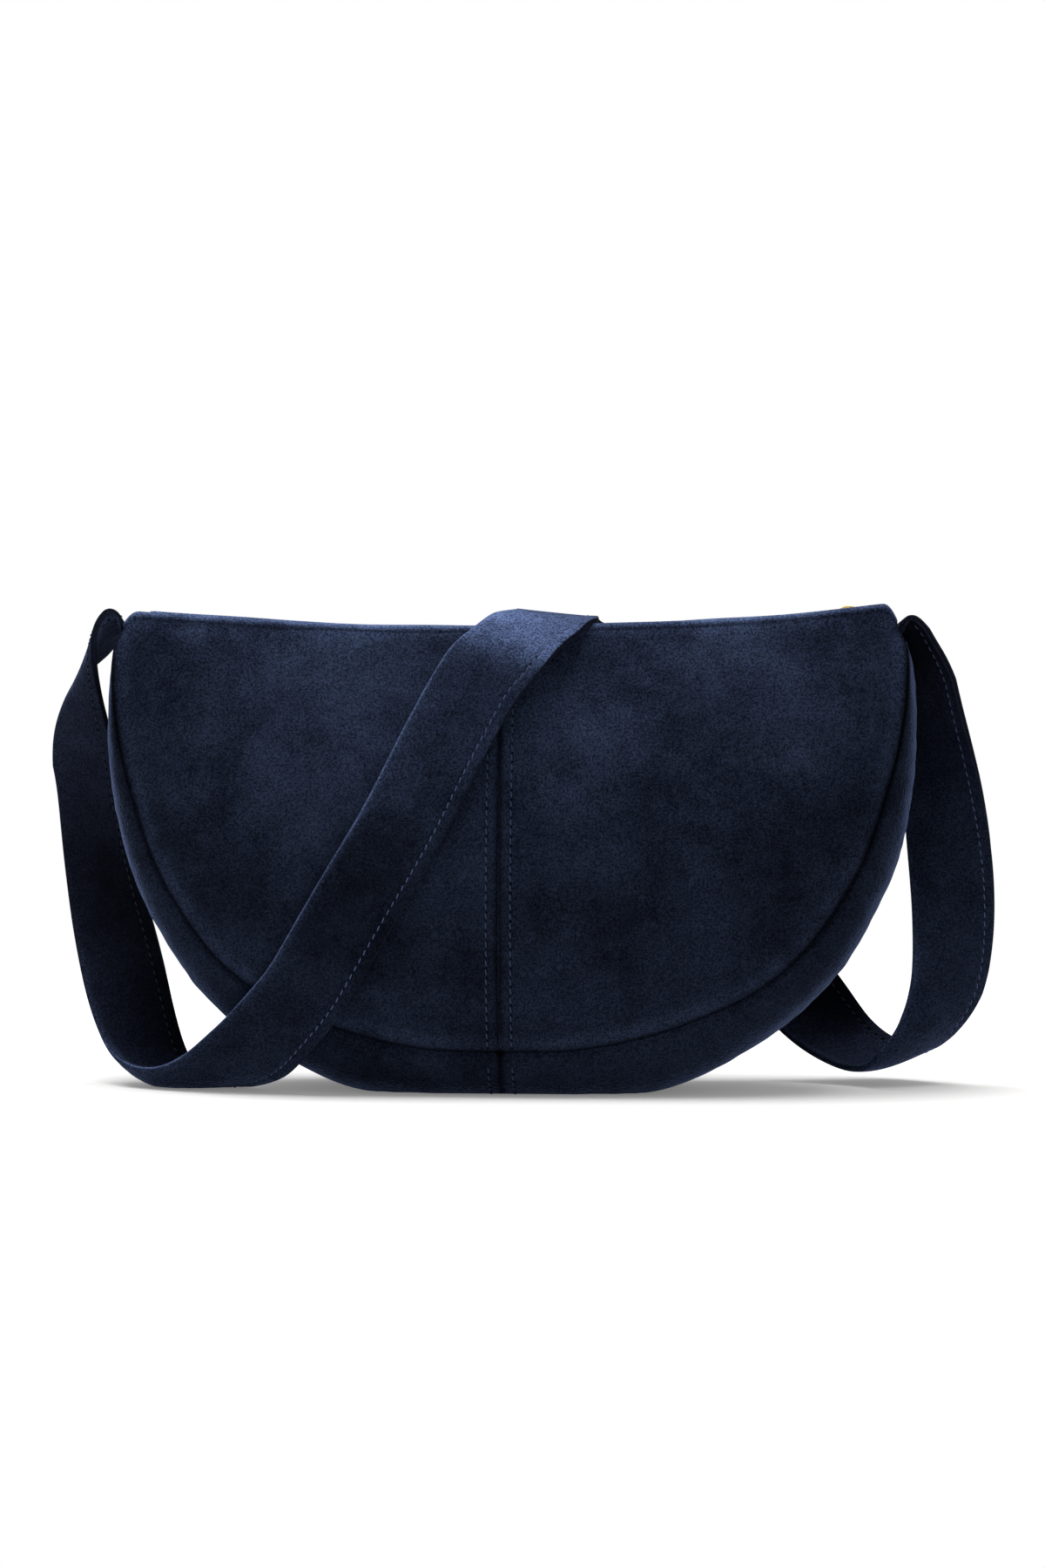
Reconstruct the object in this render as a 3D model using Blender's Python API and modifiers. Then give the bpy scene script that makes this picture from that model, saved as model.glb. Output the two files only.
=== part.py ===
"""Half-moon suede shoulder bag with a zipped top and a wide folded strap.

The bag stands on the floor on its flattened gusset. +X is to the viewer's right, -Y is the
front, +Z is up. The origin is the middle of the base, on the floor. Lengths are in metres.
"""
import math

import bmesh
import bpy
import numpy as np
from mathutils import Matrix, Vector

# Overall sizes of the bag body
HALF_WIDTH = 0.1663
BAG_HEIGHT = 0.1915
BASE_HALF_DEPTH = 0.036
PANEL_PUFF = 0.0165
PUFF_REACH = 0.090
RIM_SLOPE_REACH = 0.120
SEAM_X = -0.0023
FLOOR_SAG = 0.0025
FLOOR_SAG_REACH = 0.030

# The rim sags on an arc and draws in towards the corners, at insets from the half width
RIM_RADIUS = 1.55
RIM_LOW_X = -0.012
RIM_HALF_DEPTH = 0.025
RIM_CORNER_HALF_DEPTH = 0.022
RIM_TAPER_START_INSET = 0.0563
RIM_TAPER_END_INSET = 0.0163
CREST_RADIUS = 0.003
CORNER_ROUND_INSET = 0.0176
FLANGE_DROP = 0.003

# Suede, lining and the gap kept between neighbours
SUEDE = 0.0013
LINING = 0.0006
GAP = 0.0003
EDGE_WALL = 0.002
EDGE_WALL_RISE_SHARE = 0.25

# The zip and the suede strips beside it, with their ends at insets from the half width
STRIP_HALF_OUTER = 0.017
STRIP_HALF_INNER = 0.007
STRIP_THICKNESS = 0.001
STRIP_SLOPE_DROP = 0.0006
MOUTH_LEFT_INSET = 0.0543
MOUTH_RIGHT_INSET = 0.0213
TAB_CORNER_OFFSET = 0.0092
TAB_CORNER_SHARE = 0.72
TAPE_HALF_OUTER = 0.013
TAPE_HALF_INNER = 0.0019
TAPE_THICKNESS = 0.0005
TOOTH_PITCH = 0.0036
TOOTH_LENGTH = 0.0015
TOOTH_OVERLAP = 0.0005
TOOTH_THICKNESS = 0.002
TEETH_RIGHT_INSET = 0.0275
BEAD_THICKNESS = 0.0012
STOP_LENGTH = 0.0022

# The slider
SLIDER_LENGTH = 0.010
SLIDER_NOSE_WIDTH = 0.0088
SLIDER_TAIL_WIDTH = 0.0070
SLIDER_PLATE = 0.001
SLIDER_CHANNEL = 0.0026
SLIDER_LIP = 0.0005
SLIDER_LIP_WIDTH = 0.0009
WEDGE_LENGTH = 0.0018
WEDGE_WIDTH = 2 * TOOTH_OVERLAP
WEDGE_FROM_NOSE = 0.0004
BAIL_SPAN = 0.0062
BAIL_TOP = 0.0066
BAIL_WIDTH = 0.0024
BAIL_THICKNESS = 0.0012

# The pull hangs on the bail
PULL_LENGTH = 0.022
PULL_WIDTH = 0.0056
PULL_THICKNESS = 0.0011
PULL_WINDOW = 0.0047
PULL_BAR = 0.0012
PULL_HOLE_RADIUS = 0.0011
PULL_AXIS_SHARE = 0.56

# The strap, a folded band sewn along one edge
STRAP_WIDTH = 0.035
STRAP_THICKNESS = 0.0028
STRAP_TAIL_DEPTH = 0.011
STRAP_TAIL_RISE = 0.0043
STRAP_LAY_CLEAR = 0.0012
STRAP_LEAST_SLANT_SHARE = 0.88
STRAP_CURL_SHARE = 0.6
GUSSET_TOP_SHARE = 0.938
LINING_TOP_SHARE = 0.86
LINING_EDGE_SHARE = 0.45

# Places along the rim
RIM_TAPER_START = HALF_WIDTH - RIM_TAPER_START_INSET
RIM_TAPER_END = HALF_WIDTH - RIM_TAPER_END_INSET
CORNER_ROUND_START = HALF_WIDTH - CORNER_ROUND_INSET
MOUTH_LEFT_X = MOUTH_LEFT_INSET - HALF_WIDTH
MOUTH_RIGHT_X = HALF_WIDTH - MOUTH_RIGHT_INSET
TEETH_RIGHT_X = HALF_WIDTH - TEETH_RIGHT_INSET
SLIDER_REST_X = TEETH_RIGHT_X - GAP
SLIDER_END_X = MOUTH_LEFT_X - SLIDER_LENGTH / 2

# Counts of facets
PANEL_CELLS = 10
GUSSET_CELLS = 24
RIM_CELLS = 20
STRAP_STEPS = 2
STRAP_CELLS = 4

# Half outlines from the middle of the base to the top corner, in shares of half width and height
OUTER_SHARES = [
    (0.0, 0.0), (0.216, 0.002), (0.385, 0.016), (0.541, 0.070), (0.686, 0.144),
    (0.800, 0.243), (0.887, 0.358), (0.947, 0.478), (0.983, 0.595), (1.0, 0.731),
    (0.997, 0.851), (0.982, 0.950), (0.953, 1.002),
]
PANEL_SEAM_SHARES = [
    (0.0, 0.097), (0.180, 0.102), (0.349, 0.131), (0.493, 0.175), (0.613, 0.227),
    (0.716, 0.300), (0.803, 0.399), (0.869, 0.501), (0.912, 0.608), (0.950, 0.731),
    (0.971, 0.851), (0.973, 0.948), (0.951, 0.995),
]
# Half the gusset's width at the same places, in shares of half the base's depth
GUSSET_DEPTH_SHARES = [
    1.0, 1.0, 1.0, 0.986, 0.972, 0.944, 0.903, 0.861, 0.819, 0.764, 0.708, 0.653, 0.611,
]

# The strap's middle line in shares of half width, half depth and height, then the direction
# from its sewn edge to its folded edge, and how far it bows between them in shares of its width
LEFT_DROP_SHARES = [
    (-0.985, -0.02, 1.000, -0.12, 0.94, -0.34, 0.0),
    (-1.015, -0.02, 0.984, -0.16, 0.87, -0.46, 0.0),
    (-1.046, 0.00, 0.960, -0.22, 0.86, -0.48, 0.0),
    (-1.073, 0.06, 0.923, -0.32, 0.84, -0.46, 0.0),
    (-1.096, 0.20, 0.874, -0.46, 0.80, -0.40, 0.0),
    (-1.112, 0.42, 0.812, -0.61, 0.71, -0.36, 0.0),
    (-1.114, 0.63, 0.742, -0.71, 0.62, -0.33, 0.0),
    (-1.103, 0.76, 0.652, -0.80, 0.55, -0.25, 0.0),
    (-1.083, 0.80, 0.527, -0.90, 0.42, -0.15, 0.0),
    (-1.051, 0.68, 0.394, -0.95, 0.30, -0.08, 0.0),
    (-1.014, 0.51, 0.288, -0.97, 0.10, -0.06, 0.03),
    (-0.978, 0.35, 0.180, -0.94, -0.20, 0.04, 0.08),
    (-0.938, 0.20, 0.090, -0.88, -0.40, 0.15, 0.13),
    (-0.892, 0.06, 0.042, -0.84, -0.48, 0.22, 0.15),
    (-0.836, -0.08, 0.024, -0.83, -0.50, 0.24, 0.15),
    (-0.777, -0.23, 0.026, -0.83, -0.48, 0.26, 0.13),
    (-0.715, -0.39, 0.045, -0.84, -0.38, 0.34, 0.09),
    (-0.660, -0.57, 0.074, -0.85, -0.22, 0.45, 0.05),
    (-0.609, -0.72, 0.108, -0.84, -0.08, 0.53, 0.02),
    (-0.550, -0.86, 0.163, -0.84, 0.02, 0.55, 0.0),
]
# On the panels the depth follows the panel, so these rows give width, height and direction
FRONT_RUN_SHARES = [
    (-0.487, 0.225, -0.86, 0.51), (-0.433, 0.305, -0.86, 0.51), (-0.335, 0.451, -0.86, 0.51),
    (-0.247, 0.577, -0.88, 0.47), (-0.179, 0.702, -0.90, 0.42), (-0.114, 0.810, -0.92, 0.38),
    (-0.058, 0.896, -0.93, 0.36), (0.000, 0.950, -0.93, 0.33),
]
OVER_RIM_SHARES = [
    (0.048, -0.655, 0.993, -0.93, 0.22, 0.25, 0.0), (0.084, -0.545, 1.011, -0.92, 0.32, 0.18, 0.0),
    (0.112, -0.37, 1.021, -0.92, 0.39, 0.12, 0.0), (0.112, -0.13, 1.022, -0.94, 0.32, 0.09, 0.0),
    (0.108, 0.11, 1.019, -0.98, 0.17, 0.07, 0.0), (0.104, 0.325, 1.017, -1.00, 0.06, 0.04, 0.0),
    (0.100, 0.520, 1.014, -1.00, 0.00, 0.01, 0.0), (0.108, 0.655, 0.986, -0.97, -0.06, -0.15, 0.0),
]
BACK_RUN_SHARES = [
    (0.152, 0.950, -0.93, -0.33), (0.200, 0.896, -0.91, -0.38), (0.270, 0.810, -0.88, -0.46),
    (0.355, 0.690, -0.86, -0.50), (0.440, 0.570, -0.86, -0.51), (0.520, 0.455, -0.86, -0.51),
    (0.595, 0.345, -0.86, -0.51),
]
RIGHT_RISE_SHARES = [
    (0.662, 1.03, 0.252, -0.86, -0.04, -0.51, 0.0),
    (0.712, 1.00, 0.193, -0.84, -0.10, -0.50, 0.02),
    (0.760, 0.99, 0.140, -0.80, -0.35, -0.37, 0.04),
    (0.808, 0.93, 0.097, -0.80, -0.50, -0.22, 0.06),
    (0.866, 0.82, 0.067, -0.80, -0.55, -0.18, 0.07),
    (0.922, 0.68, 0.053, -0.81, -0.55, -0.18, 0.06),
    (0.967, 0.55, 0.061, -0.81, -0.54, -0.19, 0.05),
    (1.001, 0.46, 0.089, -0.81, -0.53, -0.20, 0.04),
    (1.036, 0.42, 0.125, -0.82, -0.52, -0.20, 0.05),
    (1.065, 0.40, 0.168, -0.83, -0.50, -0.20, 0.06),
    (1.084, 0.40, 0.223, -0.87, -0.42, -0.18, 0.08),
    (1.094, 0.40, 0.283, -0.91, -0.32, -0.14, 0.08),
    (1.097, 0.40, 0.386, -0.96, -0.12, -0.10, 0.08),
    (1.088, 0.40, 0.499, -0.97, 0.08, -0.06, 0.06),
    (1.075, 0.38, 0.605, -0.91, 0.36, -0.05, 0.04),
    (1.067, 0.36, 0.690, -0.77, 0.62, -0.10, 0.0),
    (1.057, 0.34, 0.766, -0.62, 0.76, -0.16, 0.0),
    (1.042, 0.30, 0.840, -0.49, 0.84, -0.24, 0.0),
    (1.031, 0.19, 0.897, -0.32, 0.90, -0.30, 0.0),
    (1.017, 0.11, 0.936, -0.18, 0.92, -0.32, 0.0),
    (0.999, 0.04, 0.966, -0.08, 0.95, -0.28, 0.0),
    (0.981, 0.02, 0.995, -0.04, 0.97, -0.15, 0.0),
]


def smooth_curve(points, count):
    """Points at even parameters along a Catmull-Rom curve through the given points."""
    rows = np.array(points, dtype=float)
    if rows.ndim == 1:
        rows = rows[:, None]
    padded = np.vstack([2 * rows[0] - rows[1], rows, 2 * rows[-1] - rows[-2]])
    found = []
    for place in np.linspace(0, len(rows) - 1, count):
        i = min(int(place), len(rows) - 2)
        f = place - i
        a, b, c, d = padded[i:i + 4]
        bend = (2 * a - 5 * b + 4 * c - d) * f ** 2 + (3 * b - a - 3 * c + d) * f ** 3
        found.append(0.5 * (2 * b + (c - a) * f + bend))
    return np.array(found)


OUTLINE_SAMPLES = 241
OUTER_LINE = smooth_curve(OUTER_SHARES, OUTLINE_SAMPLES)
SEAM_LINE = smooth_curve(PANEL_SEAM_SHARES, OUTLINE_SAMPLES)
DEPTH_LINE = smooth_curve(GUSSET_DEPTH_SHARES, OUTLINE_SAMPLES)[:, 0]
LINE_PLACES = np.linspace(0, 1, OUTLINE_SAMPLES)


def on_line(line, share):
    """The x and z shares of an outline at a share of its run from the base to the corner."""
    return (float(np.interp(share, LINE_PLACES, line[:, 0])),
            float(np.interp(share, LINE_PLACES, line[:, 1])))


def gusset_half_depth(share):
    return BASE_HALF_DEPTH * float(np.interp(share, LINE_PLACES, DEPTH_LINE))


def side_x(side, x_share, start=GAP / 2):
    """World x of a share of the half width, on the left (-1) or right (1) of the centre seam."""
    first = SEAM_X + side * start
    return first + x_share * (side * HALF_WIDTH - first)


def smoothstep(low, high, value):
    k = min(max((value - low) / (high - low), 0.0), 1.0)
    return k * k * (3 - 2 * k)


def rim_z(x):
    """Height of the rim's crest."""
    return BAG_HEIGHT + (x - RIM_LOW_X) ** 2 / (2 * RIM_RADIUS)


def rim_half_depth(x):
    taper = smoothstep(RIM_TAPER_START, RIM_TAPER_END, abs(x))
    return RIM_HALF_DEPTH + (RIM_CORNER_HALF_DEPTH - RIM_HALF_DEPTH) * taper


def panel_corner(side):
    x_share, z_share = on_line(SEAM_LINE, 1)
    return side_x(side, x_share), BAG_HEIGHT * z_share


def corner_fall(side, x):
    """How far the top edge has dropped below the rim's line where it rounds the corner."""
    corner_x, corner_z = panel_corner(side)
    fall = rim_z(corner_x) - CREST_RADIUS - corner_z
    k = (abs(x) - CORNER_ROUND_START) / (abs(corner_x) - CORNER_ROUND_START)
    return fall * min(max(k, 0.0), 1.0) ** 2


def panel_top_z(side, x):
    """Height where the panel's wall ends and its crest starts to roll over."""
    return rim_z(x) - CREST_RADIUS - corner_fall(side, x)


def panel_depth(x, reach, share, below_rim, from_seam):
    """Half depth of a panel: a straight run from rim to seam, and a puff on top of it."""
    base = rim_half_depth(x) + (gusset_half_depth(share) - rim_half_depth(x)) * reach
    inside = 1 - min(max(from_seam / PUFF_REACH, 0.0), 1.0)
    slope = math.sin(math.pi / 2 * min(max(below_rim / RIM_SLOPE_REACH, 0.0), 1.0))
    return base + PANEL_PUFF * math.sqrt(1 - inside * inside) * slope


def panel_point(side, s, t, start=GAP / 2):
    """A panel's outer surface as (x, half depth, z), s from centre seam to side, t downwards."""
    p = s * math.sqrt(1 - t * t / 2)
    q = t * math.sqrt(1 - s * s / 2)
    reach = math.hypot(p, q)
    share = 1 - math.atan2(q, p) / (math.pi / 2) if reach > 0 else 1.0
    x_share, z_share = on_line(SEAM_LINE, share)
    pole_x = side_x(side, 0, start)
    pole_z = panel_top_z(side, pole_x)
    edge_x, edge_z = side_x(side, x_share, start), BAG_HEIGHT * z_share
    x = pole_x + reach * (edge_x - pole_x)
    straight = pole_z + reach * (edge_z - pole_z)
    corner_z = panel_corner(side)[1]
    top_straight = pole_z + s * (corner_z - pole_z)
    z = straight + (panel_top_z(side, x) - top_straight) * (1 - t) ** 2
    from_seam = (1 - reach) * math.hypot(edge_x - pole_x, edge_z - pole_z)
    return x, panel_depth(x, reach, share, panel_top_z(side, x) - z, from_seam), z


def flange_half_depth(x):
    """How far inwards the rolled top edge of a panel runs, wider for the strap at the ends."""
    strap_clear = STRAP_WIDTH / 2 + 3 * GAP
    clear = smoothstep(CORNER_ROUND_START, CORNER_ROUND_START + 2 * CREST_RADIUS, abs(x))
    narrow = STRIP_HALF_OUTER + GAP
    return narrow + (strap_clear - narrow) * clear


def crest_rows(x, depth, z):
    """The rolled top edge, from its inner end down to the wall, as (half depth, z) pairs."""
    end = flange_half_depth(x)
    top = z + CREST_RADIUS
    flat = depth - CREST_RADIUS
    bend = CREST_RADIUS * (1 - math.cos(math.pi / 4))
    lowering = FLANGE_DROP * min(max((flat - end) / (RIM_HALF_DEPTH - CREST_RADIUS - end), 0.0), 1.0)
    middle = (flat + end) / 2
    return [(end, top - lowering), (middle, top - lowering / 3), (flat, top),
            (depth - bend, z + CREST_RADIUS - bend)]


def clear_scene():
    for thing in list(bpy.data.objects):
        bpy.data.objects.remove(thing, do_unlink=True)


clear_scene()
PARTS = bpy.data.collections.new("half_moon_shoulder_bag")
CUTTERS = bpy.data.collections.new("cutters")
bpy.context.scene.collection.children.link(PARTS)
bpy.context.scene.collection.children.link(CUTTERS)


def material(name, colour, roughness, metallic=0.0):
    made = bpy.data.materials.new(name)
    made.use_nodes = True
    shader = made.node_tree.nodes["Principled BSDF"]
    shader.inputs["Base Color"].default_value = (*colour, 1.0)
    shader.inputs["Roughness"].default_value = roughness
    shader.inputs["Metallic"].default_value = metallic
    return made


SUEDE_BLUE = (0.022, 0.032, 0.066)
STRAP_BLUE = (0.020, 0.030, 0.062)
LINING_BLUE = (0.030, 0.040, 0.075)
TAPE_BLUE = (0.012, 0.016, 0.035)
BRASS = (0.80, 0.62, 0.30)


def add_part(name, mesh, colour, roughness, metallic=0.0, collection=PARTS):
    made = bpy.data.objects.new(name, mesh)
    collection.objects.link(made)
    made.data.materials.append(material(f"{name}_material", colour, roughness, metallic))
    if collection is CUTTERS:
        made.hide_render = True
        made.display_type = "WIRE"
    return made


def mapped_grid(name, columns, rows, place):
    """An open surface: a grid whose points at (u, v) from 0 to 1 are moved to place(u, v)."""
    bm = bmesh.new()
    bmesh.ops.create_grid(bm, x_segments=columns, y_segments=rows, size=0.5)
    for vertex in bm.verts:
        u = min(max(vertex.co.x + 0.5, 0.0), 1.0)
        v = min(max(vertex.co.y + 0.5, 0.0), 1.0)
        vertex.co = place(u, v)
    mesh = bpy.data.meshes.new(name)
    bm.to_mesh(mesh)
    bm.free()
    return mesh


def face_towards(mesh, outside):
    """Turns the whole surface over if its faces look away from the given outside direction."""
    middle = mesh.polygons[len(mesh.polygons) // 2]
    if middle.normal.dot(Vector(outside(middle.center))) < 0:
        mesh.flip_normals()


def push_inwards(mesh, distance):
    """Moves an open surface along its own normals, away from the outside."""
    shifted = [v.co - distance * v.normal for v in mesh.vertices]
    for vertex, place in zip(mesh.vertices, shifted):
        vertex.co = place


def solidify(thing, thickness, offset=-1.0):
    shell = thing.modifiers.new("thickness", "SOLIDIFY")
    shell.thickness = thickness
    shell.offset = offset
    shell.use_even_offset = True
    return shell


def shade(thing):
    thing.data.shade_smooth()
    thing.data.set_sharp_from_angle(angle=math.radians(35))


def boolean(target, other, operation):
    step = target.modifiers.new(f"{operation.lower()}_{other.name}", "BOOLEAN")
    step.operation = operation
    step.object = other
    step.solver = "EXACT"


# Front and back panels, each of two halves that meet at the centre seam

CREST_ROW_COUNT = 4


def panel_rows():
    """Parameters down a panel: crest rows first, then the wall, then the turned edge."""
    rows = [("crest", i) for i in range(CREST_ROW_COUNT)]
    rows += [("wall", i / PANEL_CELLS) for i in range(PANEL_CELLS + 1)]
    return rows + [("edge", 1)]


def panel_vertex(face, side, s, row):
    kind, value = row
    if kind == "crest":
        x, depth, z = panel_point(side, s, 0)
        depth, z = crest_rows(x, depth, z)[value]
    else:
        x, depth, z = panel_point(side, s, value)
        if kind == "edge":
            depth += GAP / 2
        elif s >= 1 or value >= 1:
            depth += EDGE_WALL * min(1.0, value / EDGE_WALL_RISE_SHARE)
    return Vector((x, face * depth, z))


def make_panel(name, face, side):
    rows = panel_rows()
    columns = PANEL_CELLS

    def place(u, v):
        row = rows[round(v * (len(rows) - 1))]
        return panel_vertex(face, side, round(u * columns) / columns, row)

    mesh = mapped_grid(name, columns, len(rows) - 1, place)
    face_towards(mesh, lambda at: (0, face, 0))
    panel = add_part(name, mesh, SUEDE_BLUE, 0.95)
    solidify(panel, SUEDE)
    shade(panel)
    return panel


# Gusset, in two halves that meet under the bag

GUSSET_ACROSS_SHARES = [-1, -0.95, -0.82, -0.5, 0, 0.5, 0.82, 0.95, 1]
GUSSET_SQUARENESS = 3


def gusset_point(side, share, across, start=GAP / 2):
    """The gusset's outer surface, flattened where it lies on the floor."""
    seam = on_line(SEAM_LINE, share)
    outer = on_line(OUTER_LINE, share)
    swell = math.sqrt(max(1 - abs(across) ** GUSSET_SQUARENESS, 0.0))
    seam_x, outer_x = side_x(side, seam[0], start), side_x(side, outer[0], start)
    seam_z, outer_z = BAG_HEIGHT * seam[1], BAG_HEIGHT * outer[1]
    outer_z -= FLOOR_SAG * (1 - smoothstep(0, FLOOR_SAG_REACH, outer_z))
    x = seam_x + (outer_x - seam_x) * swell
    z = seam_z + (outer_z - seam_z) * swell
    half_depth = gusset_half_depth(share) - GAP / 2
    return Vector((x, half_depth * across, max(z, 0.0)))


def make_gusset(name, side):
    across = GUSSET_ACROSS_SHARES

    def place(u, v):
        column = round(u * GUSSET_CELLS) / GUSSET_CELLS
        return gusset_point(side, column * GUSSET_TOP_SHARE, across[round(v * (len(across) - 1))])

    mesh = mapped_grid(name, GUSSET_CELLS, len(across) - 1, place)
    face_towards(mesh, lambda at: (at.x - SEAM_X, 0, at.z - BAG_HEIGHT))
    gusset = add_part(name, mesh, SUEDE_BLUE, 0.95)
    solidify(gusset, SUEDE)
    shade(gusset)
    return gusset


# Lining, a thin bag hung inside the suede one

def lining_vertex(face, side, column, row):
    """A place on the facets of the panel, with the last row drawn in from the seam."""
    def split(index):
        place = min(index, PANEL_CELLS - LINING_EDGE_SHARE)
        return min(int(place), PANEL_CELLS - 1), place - min(int(place), PANEL_CELLS - 1)

    (i, f), (j, g) = split(column), split(row)
    corner = [[panel_vertex(face, side, (i + a) / PANEL_CELLS, ("wall", (j + b) / PANEL_CELLS))
               for b in (0, 1)] for a in (0, 1)]
    near = corner[0][0].lerp(corner[0][1], g)
    return near.lerp(corner[1][0].lerp(corner[1][1], g), f)


def make_lining_panel(name, face):
    def place(u, v):
        column = round((2 * u - 1) * PANEL_CELLS)
        row = round(v * PANEL_CELLS)
        point = lining_vertex(face, -1 if column < 0 else 1, abs(column), row)
        if column == 0:
            point.x = SEAM_X
        if row == 0:
            point.z -= CREST_RADIUS
        return point

    mesh = mapped_grid(name, 2 * PANEL_CELLS, PANEL_CELLS, place)
    face_towards(mesh, lambda at: (0, face, 0))
    push_inwards(mesh, SUEDE + 2 * GAP)
    lining = add_part(name, mesh, LINING_BLUE, 0.85)
    solidify(lining, LINING)
    shade(lining)
    return lining


def make_lining_gusset(name):
    across = GUSSET_ACROSS_SHARES[1:-1]
    cells = round(GUSSET_CELLS * LINING_TOP_SHARE / GUSSET_TOP_SHARE)

    def place(u, v):
        column = round((2 * u - 1) * cells)
        side = -1 if column < 0 else 1
        share = abs(column) / GUSSET_CELLS * GUSSET_TOP_SHARE
        return gusset_point(side, share, across[round(v * (len(across) - 1))], 0.0)

    mesh = mapped_grid(name, 2 * cells, len(across) - 1, place)
    face_towards(mesh, lambda at: (at.x - SEAM_X, 0, at.z - BAG_HEIGHT))
    push_inwards(mesh, SUEDE + 4 * GAP)
    lining = add_part(name, mesh, LINING_BLUE, 0.85)
    solidify(lining, LINING)
    shade(lining)
    return lining


# Zip strips, tapes, teeth and stops, all following the rim's arc

STRIP_TOP = -(FLANGE_DROP + GAP)
STRIP_INNER_TOP = STRIP_TOP - STRIP_SLOPE_DROP
TAPE_TOP = STRIP_INNER_TOP - STRIP_THICKNESS - GAP
CHAIN_LEVEL = TAPE_TOP - TAPE_THICKNESS / 2


def rim_slab(name, face, x_low, x_high, outer, inner, outer_top, inner_top, cells=RIM_CELLS):
    """A strip along the rim's arc: outer and inner are half depths, tops are below the crest."""
    def place(u, v):
        x = x_low + (x_high - x_low) * u
        level = outer_top + (inner_top - outer_top) * v
        return Vector((x, face * (outer + (inner - outer) * v), rim_z(x) + level))

    mesh = mapped_grid(name, cells, 1, place)
    face_towards(mesh, lambda at: (0, 0, 1))
    return mesh


def make_strip(name, face):
    mesh = rim_slab(name, face, MOUTH_LEFT_X, MOUTH_RIGHT_X, STRIP_HALF_OUTER, STRIP_HALF_INNER,
                    STRIP_TOP, STRIP_INNER_TOP)
    strip = add_part(name, mesh, SUEDE_BLUE, 0.95)
    solidify(strip, STRIP_THICKNESS)
    return strip


CHAIN_LEFT_X = SLIDER_END_X + SLIDER_LENGTH / 2 - WEDGE_FROM_NOSE - WEDGE_LENGTH


def make_tape(name, face, x_low, x_high, cells=RIM_CELLS):
    mesh = rim_slab(name, face, x_low, x_high, TAPE_HALF_OUTER, TAPE_HALF_INNER,
                    TAPE_TOP, TAPE_TOP, cells)
    tape = add_part(name, mesh, TAPE_BLUE, 0.9)
    solidify(tape, TAPE_THICKNESS)
    return tape


def box_into(bm, size, centre, tilt=0.0):
    """Adds a box of the given size to a bmesh, turned by tilt about the Y direction."""
    turn = Matrix.Translation(centre) @ Matrix.Rotation(tilt, 4, "Y") @ Matrix.Diagonal((*size, 1))
    bmesh.ops.create_cube(bm, size=1, matrix=turn)


def rim_tilt(x):
    """Turn about Y that lays a piece along the rim's arc."""
    return -math.asin((x - RIM_LOW_X) / RIM_RADIUS)


TOOTH_ROOT = TAPE_HALF_INNER - GAP
BEAD_HALF_INNER = TOOTH_OVERLAP + GAP


def teeth_mesh(name, face, x_low, x_high):
    """Teeth at the pitch, those of the back row half a pitch on."""
    bm = bmesh.new()
    width = TOOTH_ROOT + TOOTH_OVERLAP - GAP / 2
    x = x_low + TOOTH_PITCH / 2 + (TOOTH_PITCH / 2 if face > 0 else 0)
    while x + TOOTH_LENGTH / 2 < x_high:
        centre = Vector((x, face * (width / 2 - TOOTH_OVERLAP), rim_z(x) + CHAIN_LEVEL))
        box_into(bm, (TOOTH_LENGTH, width, TOOTH_THICKNESS), centre, rim_tilt(x))
        x += TOOTH_PITCH
    mesh = bpy.data.meshes.new(name)
    bm.to_mesh(mesh)
    bm.free()
    return mesh


def make_teeth(name, face, x_low, x_high, cells=RIM_CELLS):
    """One row of teeth, joined to the bead that they are clamped on."""
    top = CHAIN_LEVEL + BEAD_THICKNESS / 2
    bead = rim_slab(name, face, x_low, x_high, TOOTH_ROOT, BEAD_HALF_INNER,
                    top, top, cells)
    row = add_part(name, bead, BRASS, 0.35, 1.0)
    solidify(row, BEAD_THICKNESS)
    teeth = teeth_mesh(f"{name}_shape", face, x_low, x_high)
    cutter = add_part(f"{name}_shape", teeth, BRASS, 0.35, 1.0, collection=CUTTERS)
    boolean(row, cutter, "UNION")
    return row


def make_stop(name, x, low, high):
    """A metal clip on the zip, from one place across it to another."""
    bm = bmesh.new()
    centre = Vector((x, (low + high) / 2, rim_z(x) + CHAIN_LEVEL))
    box_into(bm, (STOP_LENGTH, high - low, TOOTH_THICKNESS), centre, rim_tilt(x))
    mesh = bpy.data.meshes.new(name)
    bm.to_mesh(mesh)
    bm.free()
    return add_part(name, mesh, BRASS, 0.35, 1.0)


BOTTOM_STOP_X = SLIDER_END_X - SLIDER_LENGTH / 2 - GAP - STOP_LENGTH / 2
TOP_STOP_X = TEETH_RIGHT_X + GAP + STOP_LENGTH / 2


# End tabs close the top between the zip and the strap's ends

def tab_half_width(x):
    """A tab draws in towards the corner with the rim."""
    k = smoothstep(CORNER_ROUND_START, HALF_WIDTH - TAB_CORNER_OFFSET, abs(x))
    return STRIP_HALF_OUTER * (1 - k * (1 - TAB_CORNER_SHARE))


def tab_mesh(name, x_low, x_high, cells):
    def place(u, v):
        x = x_low + (x_high - x_low) * u
        across = 2 * v - 1
        level = STRIP_TOP - STRIP_SLOPE_DROP * (1 - abs(across))
        top = rim_z(x) - corner_fall(math.copysign(1, x), x)
        return Vector((x, across * tab_half_width(x), top + level))

    mesh = mapped_grid(name, cells, 4, place)
    face_towards(mesh, lambda at: (0, 0, 1))
    return mesh


STRAP_TAIL_X = HALF_WIDTH - TAB_CORNER_OFFSET + GAP + STRAP_THICKNESS / 2


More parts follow.
